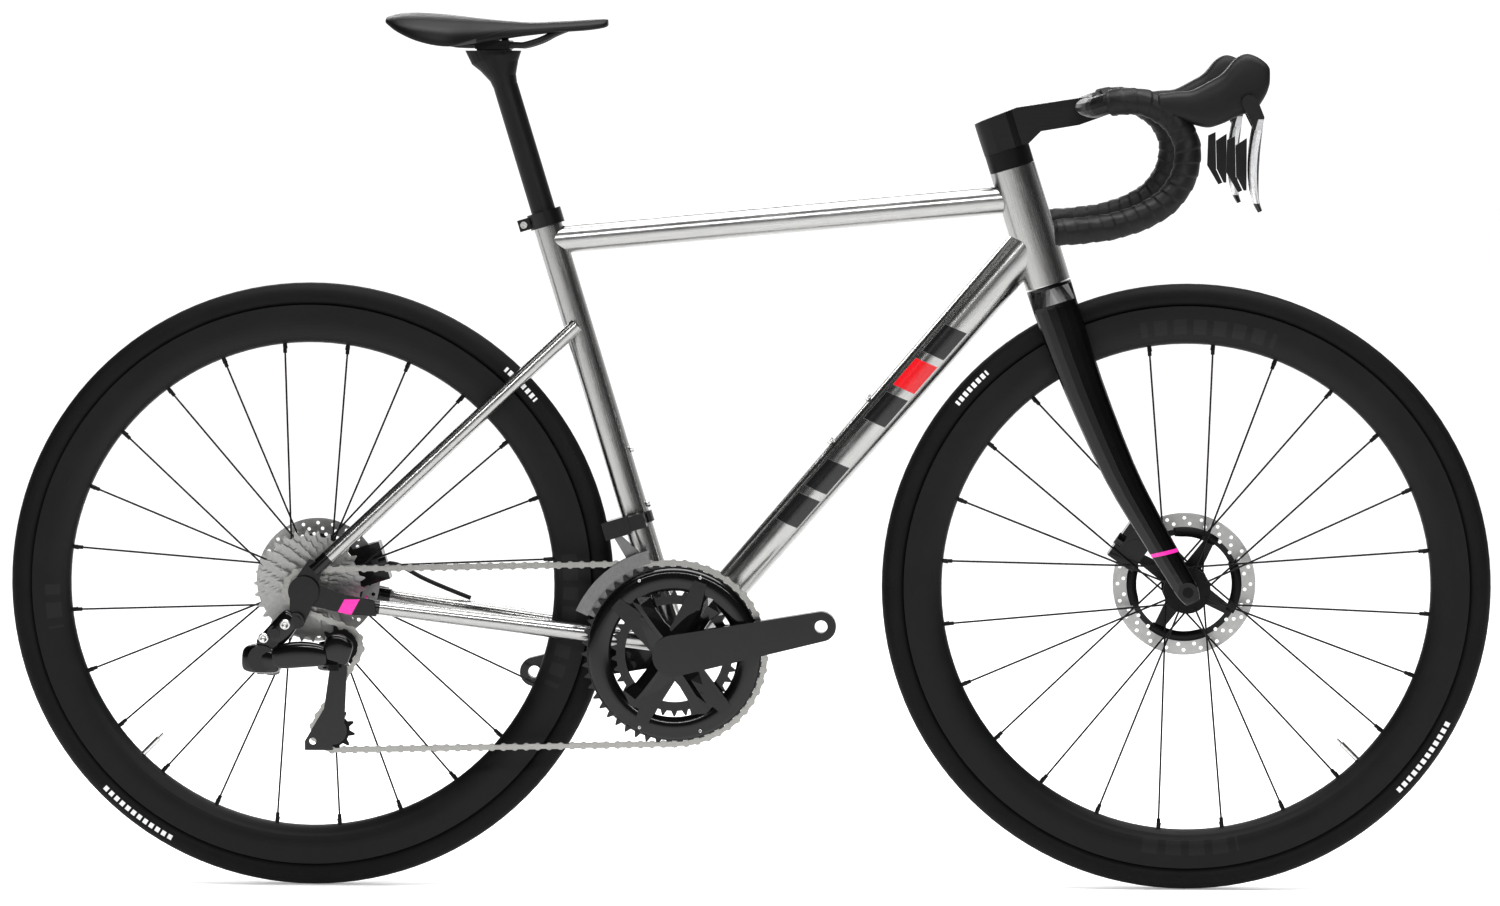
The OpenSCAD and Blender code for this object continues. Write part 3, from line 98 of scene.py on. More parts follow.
def mixed(tree, share, first, second):
    blend = add(tree, "ShaderNodeMix", data_type="RGBA")
    for index, value in ((0, share), (6, first), (7, second)):
        if isinstance(value, bpy.types.NodeSocket):
            tree.links.new(value, blend.inputs[index])
        else:
            blend.inputs[index].default_value = value
    return blend.outputs[2]


def bump(tree, height, strength, distance):
    bumped = add(tree, "ShaderNodeBump", {"Height": height, "Strength": strength, "Distance": distance})
    return bumped.outputs[0]


def noise(tree, place, scale, detail):
    return add(tree, "ShaderNodeTexNoise", {"Vector": place, "Scale": scale, "Detail": detail}).outputs[0]


def cells(tree, place, scale):
    return add(tree, "ShaderNodeTexVoronoi", {"Vector": place, "Scale": scale}).outputs[0]


def ranged(tree, value, low, high):
    return add(tree, "ShaderNodeMapRange", {"Value": value, "To Min": low, "To Max": high}).outputs[0]


def dress(names, finish):
    for name in names:
        nodes[name].data.materials.clear()
        nodes[name].data.materials.append(finish)


def brushed_steel(name, start, direction):
    finish, tree, shader = start_finish(name)
    place = turned_place(tree, start, direction)
    stretched = add(tree, "ShaderNodeMapping", {"Vector": place, "Scale": (25.0, 900.0, 900.0)}).outputs[0]
    grain = noise(tree, stretched, 1.0, 5.0)
    cloud = noise(tree, place, 14.0, 3.0)
    rough = ranged(tree, grain, 0.19, 0.32)
    cloudy = ranged(tree, cloud, -0.05, 0.05)
    tone = mixed(tree, grain, (0.30, 0.298, 0.295, 1), (0.47, 0.468, 0.46, 1))
    feed(tree, shader, {"Base Color": tone, "Metallic": 1.0, "Roughness": calc(tree, "ADD", rough, cloudy),
                        "Coat Weight": 0.25, "Coat Roughness": 0.08,
                        "Normal": bump(tree, grain, 0.035, 0.0002)})
    return finish, tree, shader, place, tone


def middle(name):
    low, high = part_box(name)
    return (low + high) / 2


seat_angle = math.radians(73.25)
seat_direction = (-math.cos(seat_angle), 0, math.sin(seat_angle))
steering_angle = math.radians(72.7)
steering_direction = (-math.cos(steering_angle), 0, math.sin(steering_angle))
crank_axle = middle("bottom_bracket_shell")
down_angle = math.radians(49.1)
down_direction = (math.cos(down_angle), 0, math.sin(down_angle))
top_direction = (0.996, 0, 0.091)
chainstay_direction = (-0.99, 0, 0.135)
seatstay_direction = (-0.731, 0, -0.683)

plain_tubes = {"top_tube": top_direction, "seat_tube": seat_direction, "head_tube": steering_direction,
               "chainstays": chainstay_direction, "seatstays": seatstay_direction,
               "bottom_bracket_shell": (1, 0, 0)}
for tube, direction in plain_tubes.items():
    dress([tube], brushed_steel("brushed_" + tube, tuple(middle(tube)), direction)[0])

painted, tree, shader, place, tone = brushed_steel("brushed_down_tube", tuple(crank_axle), down_direction)
block_pitch = 0.0497
along, aside, across = add(tree, "ShaderNodeSeparateXYZ", {0: place}).outputs
slanted = calc(tree, "ADD", along, calc(tree, "MULTIPLY", across, 0.3))
count = calc(tree, "DIVIDE", calc(tree, "SUBTRACT", slanted, 0.186), block_pitch)
block = calc(tree, "FLOOR", count)
inside = calc(tree, "MULTIPLY", between(tree, calc(tree, "FRACT", count), 0.07, 0.86, 0.01),
              between(tree, across, -0.0125, 0.0125, 0.0003))
inside = calc(tree, "MULTIPLY", inside, between(tree, block, -0.5, 5.5, 0.01))
blank = between(tree, block, 1.5, 2.5, 0.01)
inside = calc(tree, "MULTIPLY", inside, calc(tree, "SUBTRACT", 1.0, blank))
red = between(tree, block, 3.5, 4.5, 0.01)
paint = mixed(tree, red, (0.012, 0.012, 0.013, 1), (0.62, 0.012, 0.02, 1))
feed(tree, shader, {"Base Color": mixed(tree, inside, tone, paint),
                    "Metallic": calc(tree, "SUBTRACT", 1.0, inside)})
dress(["down_tube"], painted)

# Fork, dropouts and hanger: moulded carbon and forged parts under deep gloss black paint. A pink
# line is masked round each fork blade, and a pink flash lies ahead of each rear dropout.


def gloss_paint(name, colour, roughness):
    finish, tree, shader = start_finish(name)
    place = object_place(tree)
    peel = noise(tree, place, 220.0, 2.0)
    haze = noise(tree, place, 18.0, 6.0)
    lift = ranged(tree, haze, roughness, roughness + 0.12)
    feed(tree, shader, {"Base Color": colour, "Roughness": lift, "Coat Weight": 0.35, "Coat Roughness": 0.05,
                        "Specular IOR Level": 0.35,
                        "Normal": bump(tree, peel, 0.05, 0.0002)})
    return finish, tree, shader, place


pink = (0.85, 0.045, 0.42, 1)
black = (0.002, 0.002, 0.002, 1)
fork_paint, tree, shader, place = gloss_paint("fork_gloss_black", black, 0.16)
ahead, aside, up = add(tree, "ShaderNodeSeparateXYZ", {0: place}).outputs
line = calc(tree, "SUBTRACT", up, calc(tree, "MULTIPLY", ahead, 0.24))
feed(tree, shader, {"Base Color": mixed(tree, between(tree, line, 0.2690, 0.2735, 0.0002), black, pink)})
dress(["fork"], fork_paint)

dropout_paint, tree, shader, place = gloss_paint("dropout_gloss_black", black, 0.2)
ahead, aside, up = add(tree, "ShaderNodeSeparateXYZ", {0: place}).outputs
line = calc(tree, "SUBTRACT", ahead, calc(tree, "MULTIPLY", up, 0.55))
flash = calc(tree, "MULTIPLY", between(tree, line, -0.6255, -0.6085, 0.0002),
             between(tree, up, 0.308, 0.330, 0.0002))
feed(tree, shader, {"Base Color": mixed(tree, flash, black, pink)})
dress(["dropouts"], dropout_paint)
dress(["derailleur_hanger", "seat_clamp", "bottom_bracket_cups"], gloss_paint("hanger_black", black, 0.3)[0])

# Turned and pressed bright parts: bolts, bearings and valves are stainless steel or plain alloy,
# left uncoated, so they show fine turning marks.


def bright_metal(name, colour, roughness, scale):
    finish, tree, shader = start_finish(name)
    place = object_place(tree)
    marks = noise(tree, place, scale, 4.0)
    worn = cells(tree, place, scale / 3)
    lift = ranged(tree, marks, roughness - 0.06, roughness + 0.14)
    dark = tuple(c * 0.72 for c in colour[:3]) + (1,)
    feed(tree, shader, {"Base Color": mixed(tree, marks, dark, colour), "Metallic": 1.0, "Roughness": lift,
                        "Normal": bump(tree, worn, 0.04, 0.0003)})
    return finish


stainless = bright_metal("stainless_steel", (0.72, 0.72, 0.71, 1), 0.26, 500.0)
dress(["frame_bolts", "headset_bearings", "front_valve", "rear_valve"], stainless)

# Cassette, chain and front cage: stamped steel, nickel plated to a soft silver. The chain is a little
# warmer than the sprockets, and the front derailleur's cage is a darker, brushed plate.
nickel = bright_metal("nickel_plate", (0.50, 0.50, 0.49, 1), 0.34, 260.0)
dress(["cassette"], nickel)
dress(["chain"], bright_metal("chain_plate", (0.42, 0.415, 0.40, 1), 0.28, 700.0))
dress(["front_derailleur_cage"], bright_metal("cage_plate", (0.26, 0.26, 0.26, 1), 0.32, 300.0))

# Wheels: black carbon rims, rubber tyres, black steel spokes, hubs in black anodised alloy, and
# rotors whose steel track is riveted on a black spider.
wheel_sides = {"front": 1, "rear": -1}
label_angles = {"front": (2.390, -0.615), "rear": (0.763, -2.222)}
wheel_r = 0.339


def wheel_place(tree, hub):
    moved = add(tree, "ShaderNodeVectorMath", {0: object_place(tree), 1: tuple(hub)}, operation="SUBTRACT")
    ahead, aside, up = add(tree, "ShaderNodeSeparateXYZ", {0: moved.outputs[0]}).outputs
    away = calc(tree, "SQRT", calc(tree, "ADD", calc(tree, "MULTIPLY", ahead, ahead),
                                   calc(tree, "MULTIPLY", up, up)))
    return moved.outputs[0], away, calc(tree, "ARCTAN2", up, ahead), aside


def dashes(tree, turn, away, middle_angle, half_angle, low, high, pitch):
    local = calc(tree, "SUBTRACT", turn, middle_angle)
    share = calc(tree, "FRACT", calc(tree, "DIVIDE", local, pitch))
    mark = calc(tree, "MULTIPLY", between(tree, local, -half_angle, half_angle, 0.0006),
                between(tree, share, 0.12, 0.78, 0.03))
    return calc(tree, "MULTIPLY", mark, between(tree, away, low, high, 0.0002))


for wheel in wheel_sides:
    hub = middle(wheel + "_tyre")
    rubber, tree, shader = start_finish(wheel + "_tyre_rubber")
    place, away, turn, aside = wheel_place(tree, hub)
    fine = noise(tree, place, 900.0, 3.0)
    dust = noise(tree, place, 30.0, 6.0)
    tread = between(tree, away, wheel_r - 0.0075, wheel_r + 0.01, 0.0003)
    ribs = add(tree, "ShaderNodeMath", {0: calc(tree, "MULTIPLY", turn, 900.0)}, operation="SINE").outputs[0]
    ribs = calc(tree, "MULTIPLY", ribs, between(tree, away, wheel_r - 0.011, wheel_r - 0.0075, 0.0002))
    marks = calc(tree, "ADD", dashes(tree, turn, away, label_angles[wheel][0], 0.075, 0.3245, 0.3305, 0.021),
                 dashes(tree, turn, away, label_angles[wheel][1], 0.15, 0.3245, 0.3305, 0.025))
    side = mixed(tree, dust, (0.003, 0.003, 0.003, 1), (0.008, 0.008, 0.008, 1))
    crown = mixed(tree, dust, (0.002, 0.002, 0.002, 1), (0.006, 0.006, 0.006, 1))
    tone = mixed(tree, marks, mixed(tree, tread, side, crown), (0.75, 0.75, 0.75, 1))
    lift = ranged(tree, fine, 0.52, 0.74)
    height = calc(tree, "ADD", fine, ribs)
    feed(tree, shader, {"Base Color": tone, "Roughness": lift, "Specular IOR Level": 0.22,
                        "Normal": bump(tree, height, 0.3, 0.0003)})
    dress([wheel + "_tyre"], rubber)

    carbon, tree, shader = start_finish(wheel + "_rim_carbon")
    place, away, turn, aside = wheel_place(tree, hub)
    flow = noise(tree, place, 26.0, 7.0)
    grit = noise(tree, place, 1200.0, 2.0)
    upper_row = dashes(tree, turn, away, label_angles[wheel][0] - 0.9, 0.26, 0.283, 0.300, 0.075)
    lower_row = dashes(tree, turn, away, label_angles[wheel][1] - 0.95, 0.2, 0.283, 0.300, 0.09)
    marks = calc(tree, "ADD", upper_row, lower_row)
    tone = mixed(tree, flow, (0.0035, 0.0035, 0.0038, 1), (0.008, 0.008, 0.0085, 1))
    tone = mixed(tree, marks, tone, (0.013, 0.013, 0.014, 1))
    lift = ranged(tree, flow, 0.36, 0.50)
    feed(tree, shader, {"Base Color": tone, "Roughness": lift, "Specular IOR Level": 0.3,
                        "Normal": bump(tree, grit, 0.08, 0.0001)})
    dress([wheel + "_rim"], carbon)

    steel, tree, shader = start_finish(wheel + "_rotor_steel")
    place, away, turn, aside = wheel_place(tree, hub)
    rings = add(tree, "ShaderNodeTexNoise", {"Vector": add(tree, "ShaderNodeCombineXYZ", {0: calc(
        tree, "MULTIPLY", away, 4000.0), 1: turn}).outputs[0], "Scale": 1.0, "Detail": 3.0}).outputs[0]
    spider_r = 0.0625 if wheel == "front" else 0.0525
    spider = between(tree, away, -0.01, spider_r, 0.0002)
    tone = mixed(tree, rings, (0.34, 0.34, 0.34, 1), (0.52, 0.52, 0.51, 1))
    feed(tree, shader, {"Base Color": mixed(tree, spider, tone, (0.012, 0.012, 0.012, 1)),
                        "Metallic": calc(tree, "SUBTRACT", 1.0, calc(tree, "MULTIPLY", spider, 0.7)),
                        "Roughness": ranged(tree, rings, 0.24, 0.42),
                        "Normal": bump(tree, rings, 0.1, 0.0001)})
    dress([wheel + "_rotor"], steel)


# Spoke nipples: small black alloy sleeves that stand out of the rim, one on each spoke. They are
# tapered towards the hub and lie in one ring around the wheel.


def repeated(name, count, sleeve_r, sleeve_h, wheel_radius, phase, hub, finish):
    tree = bpy.data.node_groups.new(name, "GeometryNodeTree")
    face = tree.interface
    for label, kind in (("Count", "NodeSocketInt"), ("Sleeve radius", "NodeSocketFloat"),
                        ("Sleeve length", "NodeSocketFloat"), ("Circle radius", "NodeSocketFloat"),
                        ("Start angle", "NodeSocketFloat")):
        face.new_socket(label, in_out="INPUT", socket_type=kind)
    face.new_socket("Geometry", in_out="OUTPUT", socket_type="NodeSocketGeometry")
    given = tree.nodes.new("NodeGroupInput").outputs
    circle = add(tree, "GeometryNodeMeshCircle", {"Vertices": given[0], "Radius": given[3]})
    spun = add(tree, "GeometryNodeTransform", {"Geometry": circle.outputs[0], "Rotation": add(
        tree, "ShaderNodeCombineXYZ", {2: given[4]}).outputs[0]})
    sleeve = add(tree, "GeometryNodeMeshCone", {"Vertices": 12, "Radius Top": given[1], "Radius Bottom": calc(
        tree, "MULTIPLY", given[1], 1.25), "Depth": given[2], "Side Segments": 2})
    aim = add(tree, "FunctionNodeAlignRotationToVector", {"Vector": add(
        tree, "GeometryNodeInputPosition").outputs[0]}, axis="Z")
    placed = add(tree, "GeometryNodeInstanceOnPoints", {
        "Points": spun.outputs[0], "Instance": sleeve.outputs[0], "Rotation": aim.outputs[0]})
    upright = add(tree, "GeometryNodeTransform", {"Geometry": placed.outputs[0], "Translation": tuple(hub),
                                                  "Rotation": (math.pi / 2, 0, 0)})
    real = add(tree, "GeometryNodeRealizeInstances", {0: upright.outputs[0]})
    coated = add(tree, "GeometryNodeSetMaterial", {"Geometry": real.outputs[0], "Material": finish})
    tree.links.new(coated.outputs[0], tree.nodes.new("NodeGroupOutput").inputs[0])
    maker = bpy.data.objects.new(name + "_maker", bpy.data.meshes.new(name + "_maker"))
    bpy.context.scene.collection.objects.link(maker)
    modifier = maker.modifiers.new("pattern", "NODES")
    modifier.node_group = tree
    inputs = [item.identifier for item in face.items_tree if item.in_out == "INPUT"]
    for identifier, value in zip(inputs, (count, sleeve_r, sleeve_h, wheel_radius, phase)):
        modifier[identifier] = value
    mesh = bpy.data.meshes.new_from_object(maker.evaluated_get(bpy.context.evaluated_depsgraph_get()))
    bpy.data.objects.remove(maker)
    made = bpy.data.objects.new(name, mesh)
    bpy.context.scene.collection.objects.link(made)
    return made


def satin_black(name, colour, roughness, metallic):
    finish, tree, shader = start_finish(name)
    place = object_place(tree)
    grain = noise(tree, place, 650.0, 3.0)
    cloud = noise(tree, place, 24.0, 5.0)
    light = tuple(c * 1.9 for c in colour[:3]) + (1,)
    lift = ranged(tree, cloud, roughness - 0.06, roughness + 0.1)
    feed(tree, shader, {"Base Color": mixed(tree, cloud, colour, light), "Metallic": metallic,
                        "Roughness": lift, "Specular IOR Level": 0.3,
                        "Normal": bump(tree, grain, 0.08, 0.0001)})
    return finish


anodised = satin_black("black_anodising", (0.004, 0.004, 0.004, 1), 0.32, 0.3)
dress(["front_hub", "rear_hub", "front_axle", "rear_axle", "headset_cover", "saddle_clamp"], anodised)
dress(["front_spokes", "rear_spokes"], satin_black("spoke_black", (0.003, 0.003, 0.003, 1), 0.4, 0.2))

nipple_black = satin_black("nipple_black", (0.005, 0.005, 0.005, 1), 0.3, 0.3)
first_spoke = {"front": 21.1, "rear": -21.2}
for wheel in wheel_sides:
    start_angle = math.radians(90 - first_spoke[wheel])
    nipples = repeated(wheel + "_nipples", 24, 0.0021, 0.011, 0.2665, start_angle, middle(wheel + "_tyre"),
                       nipple_black)
    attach(nipples, wheel + "_wheel")

# Cranks, rings, brakes and derailleurs: forged alloy, anodised and polished to a wet-looking black,
# with a faint unevenness left by the polishing wheel.
polished = gloss_paint("polished_black", (0.003, 0.003, 0.003, 1), 0.14)[0]
dress(["right_crank", "left_crank", "outer_chainring", "inner_chainring", "rear_derailleur_body",
       "rear_derailleur_link", "rear_derailleur_knuckle", "rear_derailleur_cage", "front_derailleur_body",
       "front_caliper", "rear_caliper"], polished)


def skin(name, rings, finish, smooth=1, closed=False):
    count = len(rings[0])
    last = (len(rings) - 1) * count
    strips = [(i, i + count) for i in range(0, last, count)]
    if closed:
        strips.append((last, 0))
    faces = [(low + j, low + (j + 1) % count, high + (j + 1) % count, high + j)
             for low, high in strips for j in range(count)]
    if not closed:
        faces += [tuple(range(count - 1, -1, -1)), tuple(range(last, last + count))]
    mesh = bpy.data.meshes.new(name)
    mesh.from_pydata([tuple(point) for ring in rings for point in ring], [], faces)
    shell = bmesh.new()
    shell.from_mesh(mesh)
    bmesh.ops.recalc_face_normals(shell, faces=shell.faces)
    shell.to_mesh(mesh)
    shell.free()
    for face in mesh.polygons:
        face.use_smooth = True
    mesh.materials.append(finish)
    made = bpy.data.objects.new(name, mesh)
    bpy.context.scene.collection.objects.link(made)
    if smooth:
        finer = made.modifiers.new("finer", "SUBSURF")
        finer.levels = finer.render_levels = smooth
    return made


# Front rotor fins: four thin cooling blades in black-painted alloy, riveted inside the steel track
# between the spider arms. Their inner edges taper off at both ends.
rotor_middle = middle("front_rotor")
fin_inner, fin_outer, fin_half = 0.0535, 0.0645, 0.0012
fin_spans = ((53, 101), (-31, 26), (232, 295), (159, 203))
fin_steps = 24
for number, (low_angle, high_angle) in enumerate(fin_spans):
    rings = []
    for k in range(fin_steps + 1):
        turn = math.radians(low_angle + (high_angle - low_angle) * k / fin_steps)
        inner = fin_inner + 0.004 * max(0, abs(2 * k / fin_steps - 1) - 0.7)
        corners = ((inner, -fin_half), (fin_outer, -fin_half), (fin_outer, fin_half), (inner, fin_half))
        rings.append([rotor_middle + Vector((r * math.cos(turn), aside, r * math.sin(turn)))
                      for r, aside in corners])
    fin = skin(f"rotor_fin_{number}", rings, anodised, smooth=0)
    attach(fin, "front_wheel")

# Spider face: a crowned ring and four broad forged arms, creased along the middle, that cover the
# outer chainring. The arms widen from the crank towards the ring.
ring_middle = middle("outer_chainring")
face_y = ring_middle.y - 0.0022
face_middle = Vector((crank_axle.x, face_y, crank_axle.z))
crown = [(0.0705, 0.0), (0.0715, -0.0028), (0.080, -0.0046), (0.090, -0.0042), (0.0955, -0.0022),
         (0.0962, 0.0)]
crown_steps = 160
rings = []
for i in range(crown_steps):
    turn = 2 * math.pi * i / crown_steps
    rings.append([face_middle + Vector((r * math.cos(turn), y, r * math.sin(turn))) for r, y in crown])
ring_face = skin("spider_ring", rings, polished, smooth=0, closed=True)
arm_sections = ((0.016, 0.017, 0.012), (0.034, 0.014, 0.0115), (0.052, 0.0145, 0.009), (0.066, 0.019, 0.0065),
                (0.076, 0.026, 0.0035))
lift = Vector((0, -1, 0))
arms = []
for arm_angle in (58, 127, 233, 302):
    heading = math.radians(arm_angle)
    out = Vector((math.cos(heading), 0, math.sin(heading)))
    over = Vector((-math.sin(heading), 0, math.cos(heading)))
    rings = []
    for r, half, rise in arm_sections:
        base = face_middle + r * out
        rings.append([base - half * over, base - 0.96 * half * over + 0.4 * rise * lift,
                      base - 0.2 * half * over + rise * lift, base + 0.1 * half * over + 0.72 * rise * lift,
                      base + 0.96 * half * over + 0.5 * rise * lift, base + half * over])
    arms.append(skin("spider_arm_%d" % arm_angle, rings, polished, smooth=0))
for piece in [ring_face, *arms]:
    for face in piece.data.polygons:
        face.use_smooth = piece is ring_face
    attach(piece, "crankset")

# Rear derailleur: gloss moulded covers over the motor, the hanger knuckle, the swinging link and the
# cage pivot. Each is clipped on the part that it moves with.


def rounded_block(name, start, end, sizes, lift, finish):
    run = Vector(end) - Vector(start)
    side = run.cross(Vector((0, 1, 0))).normalized()
    away = run.cross(side).normalized()
    rings = []
    for share, scale in ((0.0, 0.55), (0.06, 0.9), (0.35, 1.05), (0.65, 1.0), (0.94, 0.85), (1.0, 0.5)):
        centre = Vector(start) + share * run + lift * math.sin(math.pi * share) * side
        tall, deep = scale * sizes[0], scale * sizes[1]
        rings.append([centre + a * tall * side + b * deep * away for a, b in (
            (1, 0.5), (0.72, 1), (-0.6, 1), (-1, 0.55), (-1, -0.6), (-0.7, -1), (0.6, -1), (1, -0.6))])
    return skin(name, rings, finish, smooth=2)


link_start = Vector((-0.5261, -0.0738, 0.2614))
link_end = Vector((-0.465, -0.083, 0.267))
covers = {
    "motor_cover": (link_start + Vector((-0.031, -0.002, 0.002)), link_start + Vector((0.012, -0.012, 0.0)),
                    (0.0165, 0.013), 0.002, "frame"),
    "hanger_knuckle": ((-0.500, -0.086, 0.314), (-0.537, -0.083, 0.276), (0.013, 0.0065), 0.003, "frame"),
    "link_cover": (link_start + Vector((0.002, -0.016, 0.004)), link_end + Vector((0.004, -0.012, 0.002)),
                   (0.0145, 0.008), 0.003, "rear_link"),
    "pivot_cover": ((-0.466, -0.093, 0.279), (-0.436, -0.093, 0.268), (0.016, 0.006), 0.004, "rear_knuckle")}
for name, (start, end, sizes, lift, body) in covers.items():
    cover = rounded_block(name, start, end, sizes, lift, polished)
    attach(cover, body)

# Visible bolts: turned steel heads with a recess for the key. Two hold the derailleur on its hanger,
# and four small ones pin the chainrings to the spider.


def bolt_head(name, place, direction, radius, height, body):
    way = Vector(direction).normalized()
    side = way.orthogonal().normalized()
    over = way.cross(side)
    rings = []
    for r, h in ((radius, 0.0), (radius, 0.8), (0.9 * radius, 1.0), (0.52 * radius, 1.0), (0.5 * radius, 0.4),
                 (0.1 * radius, 0.35)):
        corners = 24
        rings.append([Vector(place) + h * height * way + r * (math.cos(2 * math.pi * i / corners) * side
                      + math.sin(2 * math.pi * i / corners) * over) for i in range(corners)])
    head = skin(name, rings, stainless, smooth=0)
    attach(head, body)


bolt_head("upper_hanger_bolt", (-0.5085, -0.0915, 0.3032), (0, -1, 0), 0.0058, 0.003, "frame")
bolt_head("lower_hanger_bolt", (-0.5326, -0.0905, 0.2880), (0, -1, 0), 0.0058, 0.003, "frame")
for pin_angle in (71, 115, -71, -115):
    turn = math.radians(pin_angle)
    bolt_head("ring_pin_%d" % pin_angle, (crank_axle.x + 0.0905 * math.cos(turn), face_y - 0.0036,
              crank_axle.z + 0.0905 * math.sin(turn)), (0, -1, 0), 0.0019, 0.0012, "crankset")

# Moulded parts: jockey wheels, brake hose and bar end plugs in dull black plastic, with a fine grain
# left by the mould.
dress(["guide_pulley", "tension_pulley", "rear_brake_hose", "bar_end_plugs"],
      satin_black("moulded_black", (0.004, 0.004, 0.004, 1), 0.5, 0.0))

# Seatpost, rails and one-piece bar and stem: unidirectional carbon under a satin lacquer. The fibres
# run along the post and along the stem.


def carbon_lacquer(name, direction):
    finish, tree, shader = start_finish(name)
    place = turned_place(tree, (0, 0, 0), direction)
    laid = add(tree, "ShaderNodeMapping", {"Vector": place, "Scale": (30.0, 700.0, 700.0)}).outputs[0]
    fibre = noise(tree, laid, 1.0, 4.0)
    cloud = noise(tree, place, 16.0, 5.0)
    lift = ranged(tree, cloud, 0.30, 0.44)
    feed(tree, shader, {"Base Color": mixed(tree, fibre, (0.003, 0.003, 0.003, 1), (0.010, 0.010, 0.010, 1)),
                        "Roughness": lift, "Specular IOR Level": 0.35,
                        "Normal": bump(tree, fibre, 0.06, 0.0001)})
    return finish


dress(["seatpost"], carbon_lacquer("post_carbon", seat_direction))
dress(["saddle_rails", "handlebar"], carbon_lacquer("bar_carbon", (1, 0, 0)))

# Brake levers and shift paddles: gloss moulded blades with a painted highlight along the front, a bright
# part-metallic strip painted into the colour, and satin dark grey paddles hinged behind them.
lever_paint, tree, shader, place = gloss_paint("lever_gloss", (0.02, 0.02, 0.02, 1), 0.16)
ahead, aside, up = add(tree, "ShaderNodeSeparateXYZ", {0: place}).outputs
drop = calc(tree, "SUBTRACT", 0.8054, up)
curve = calc(tree, "MULTIPLY", calc(tree, "MULTIPLY", drop, drop), 2.6)
across = calc(tree, "SUBTRACT", calc(tree, "SUBTRACT", ahead, 0.5492), curve)
# Painted highlight: a bright curved strip along the front edge of each blade, painted into the colour.
painted_highlight = calc(tree, "MULTIPLY", between(tree, across, -0.0042, 0.0036, 0.0003),
             between(tree, up, 0.772, 0.862, 0.0005))
feed(tree, shader, {"Base Color": mixed(tree, painted_highlight, (0.02, 0.02, 0.02, 1), (0.72, 0.72, 0.73, 1)),
                    "Metallic": calc(tree, "MULTIPLY", painted_highlight, 0.6)})
dress(["right_brake_lever", "left_brake_lever"], lever_paint)
dress(["right_upshift_button", "right_downshift_button", "left_upshift_button", "left_downshift_button"],
      satin_black("paddle_grey", (0.012, 0.012, 0.0125, 1), 0.35, 0.2))

# Bar tape: a thin foam-backed strip wound from the bar ends up, each turn lapping half the last,
# pulled tight so that the outer edge of every lap stands as a soft ridge.
bar_centre = Vector((0.38008, 0, 0.87400))
bar_half = 0.2
drop_line = [(0, 0, 0), (0, bar_half - 0.08, 0), (0, bar_half - 0.035, 0), (0.005, bar_half - 0.014, 0.002),
             (0.020, bar_half - 0.004, 0.006), (0.045, bar_half, 0.007), (0.067, bar_half, 0),
             (0.085, bar_half, -0.014), (0.096, bar_half, -0.032), (0.099, bar_half + 0.001, -0.049),
             (0.096, bar_half + 0.002, -0.069), (0.086, bar_half + 0.003, -0.089),
             (0.070, bar_half + 0.004, -0.105), (0.048, bar_half + 0.005, -0.117),
             (0.020, bar_half + 0.005, -0.126), (-0.010, bar_half + 0.005, -0.1305),
             (-0.040, bar_half + 0.005, -0.133)]


def smooth_line(points, steps):
    line = []
    for i in range(len(points) - 1):
        a, b, c, d = (Vector(points[min(max(k, 0), len(points) - 1)]) for k in (i - 1, i, i + 1, i + 2))
        for k in range(steps):
            t = k / steps
            line.append(0.5 * (2 * b + (c - a) * t + (2 * a - 5 * b + 4 * c - d) * t * t
                               + (3 * b - a - 3 * c + d) * t ** 3))
    return line + [Vector(points[-1])]


tape_lap = 0.0135
tape_sides = 40
tape_finish, tree, shader = start_finish("wound_bar_tape")
place = object_place(tree)
crease = add(tree, "ShaderNodeTexNoise", {"Vector": place, "Scale": 160.0, "Detail": 6.0,
                                          "Distortion": 1.5}).outputs[0]
pores = cells(tree, place, 900.0)
lift = ranged(tree, crease, 0.34, 0.6)
height = calc(tree, "ADD", crease, calc(tree, "MULTIPLY", pores, 0.25))
feed(tree, shader, {"Base Color": mixed(tree, crease, (0.002, 0.002, 0.002, 1), (0.008, 0.008, 0.008, 1)),
                    "Specular IOR Level": 0.35,
                    "Roughness": lift, "Normal": bump(tree, height, 0.5, 0.0006)})
wound = smooth_line(drop_line, 24)[92:]
for side, hand in ((-1, "right"), (1, "left")):
    rings = []
    travelled = 0.0
    up = Vector((0, 0, 1))
    for i, point in enumerate(wound):
        ahead_point, behind_point = wound[min(i + 1, len(wound) - 1)], wound[max(i - 1, 0)]
        way = (ahead_point - behind_point).normalized()
        travelled += (point - behind_point).length
        up = (up - up.dot(way) * way).normalized()
        over = way.cross(up)
        ring = []
        for j in range(tape_sides):
            turn = 2 * math.pi * j / tape_sides
            lap = (travelled / tape_lap + j / tape_sides) % 1.0
            r = 0.0139 + 0.0010 * min(lap, 6 * (1 - lap)) + 0.0002 * math.sin(5 * turn + 190 * travelled)
            at = bar_centre + point + r * (math.cos(turn) * up + math.sin(turn) * over)
            ring.append((at.x, side * at.y, at.z))
        rings.append(ring)
    tape = skin(hand + "_tape", rings, tape_finish, smooth=0)
    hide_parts("bar_tape")
    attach(tape, "steering")

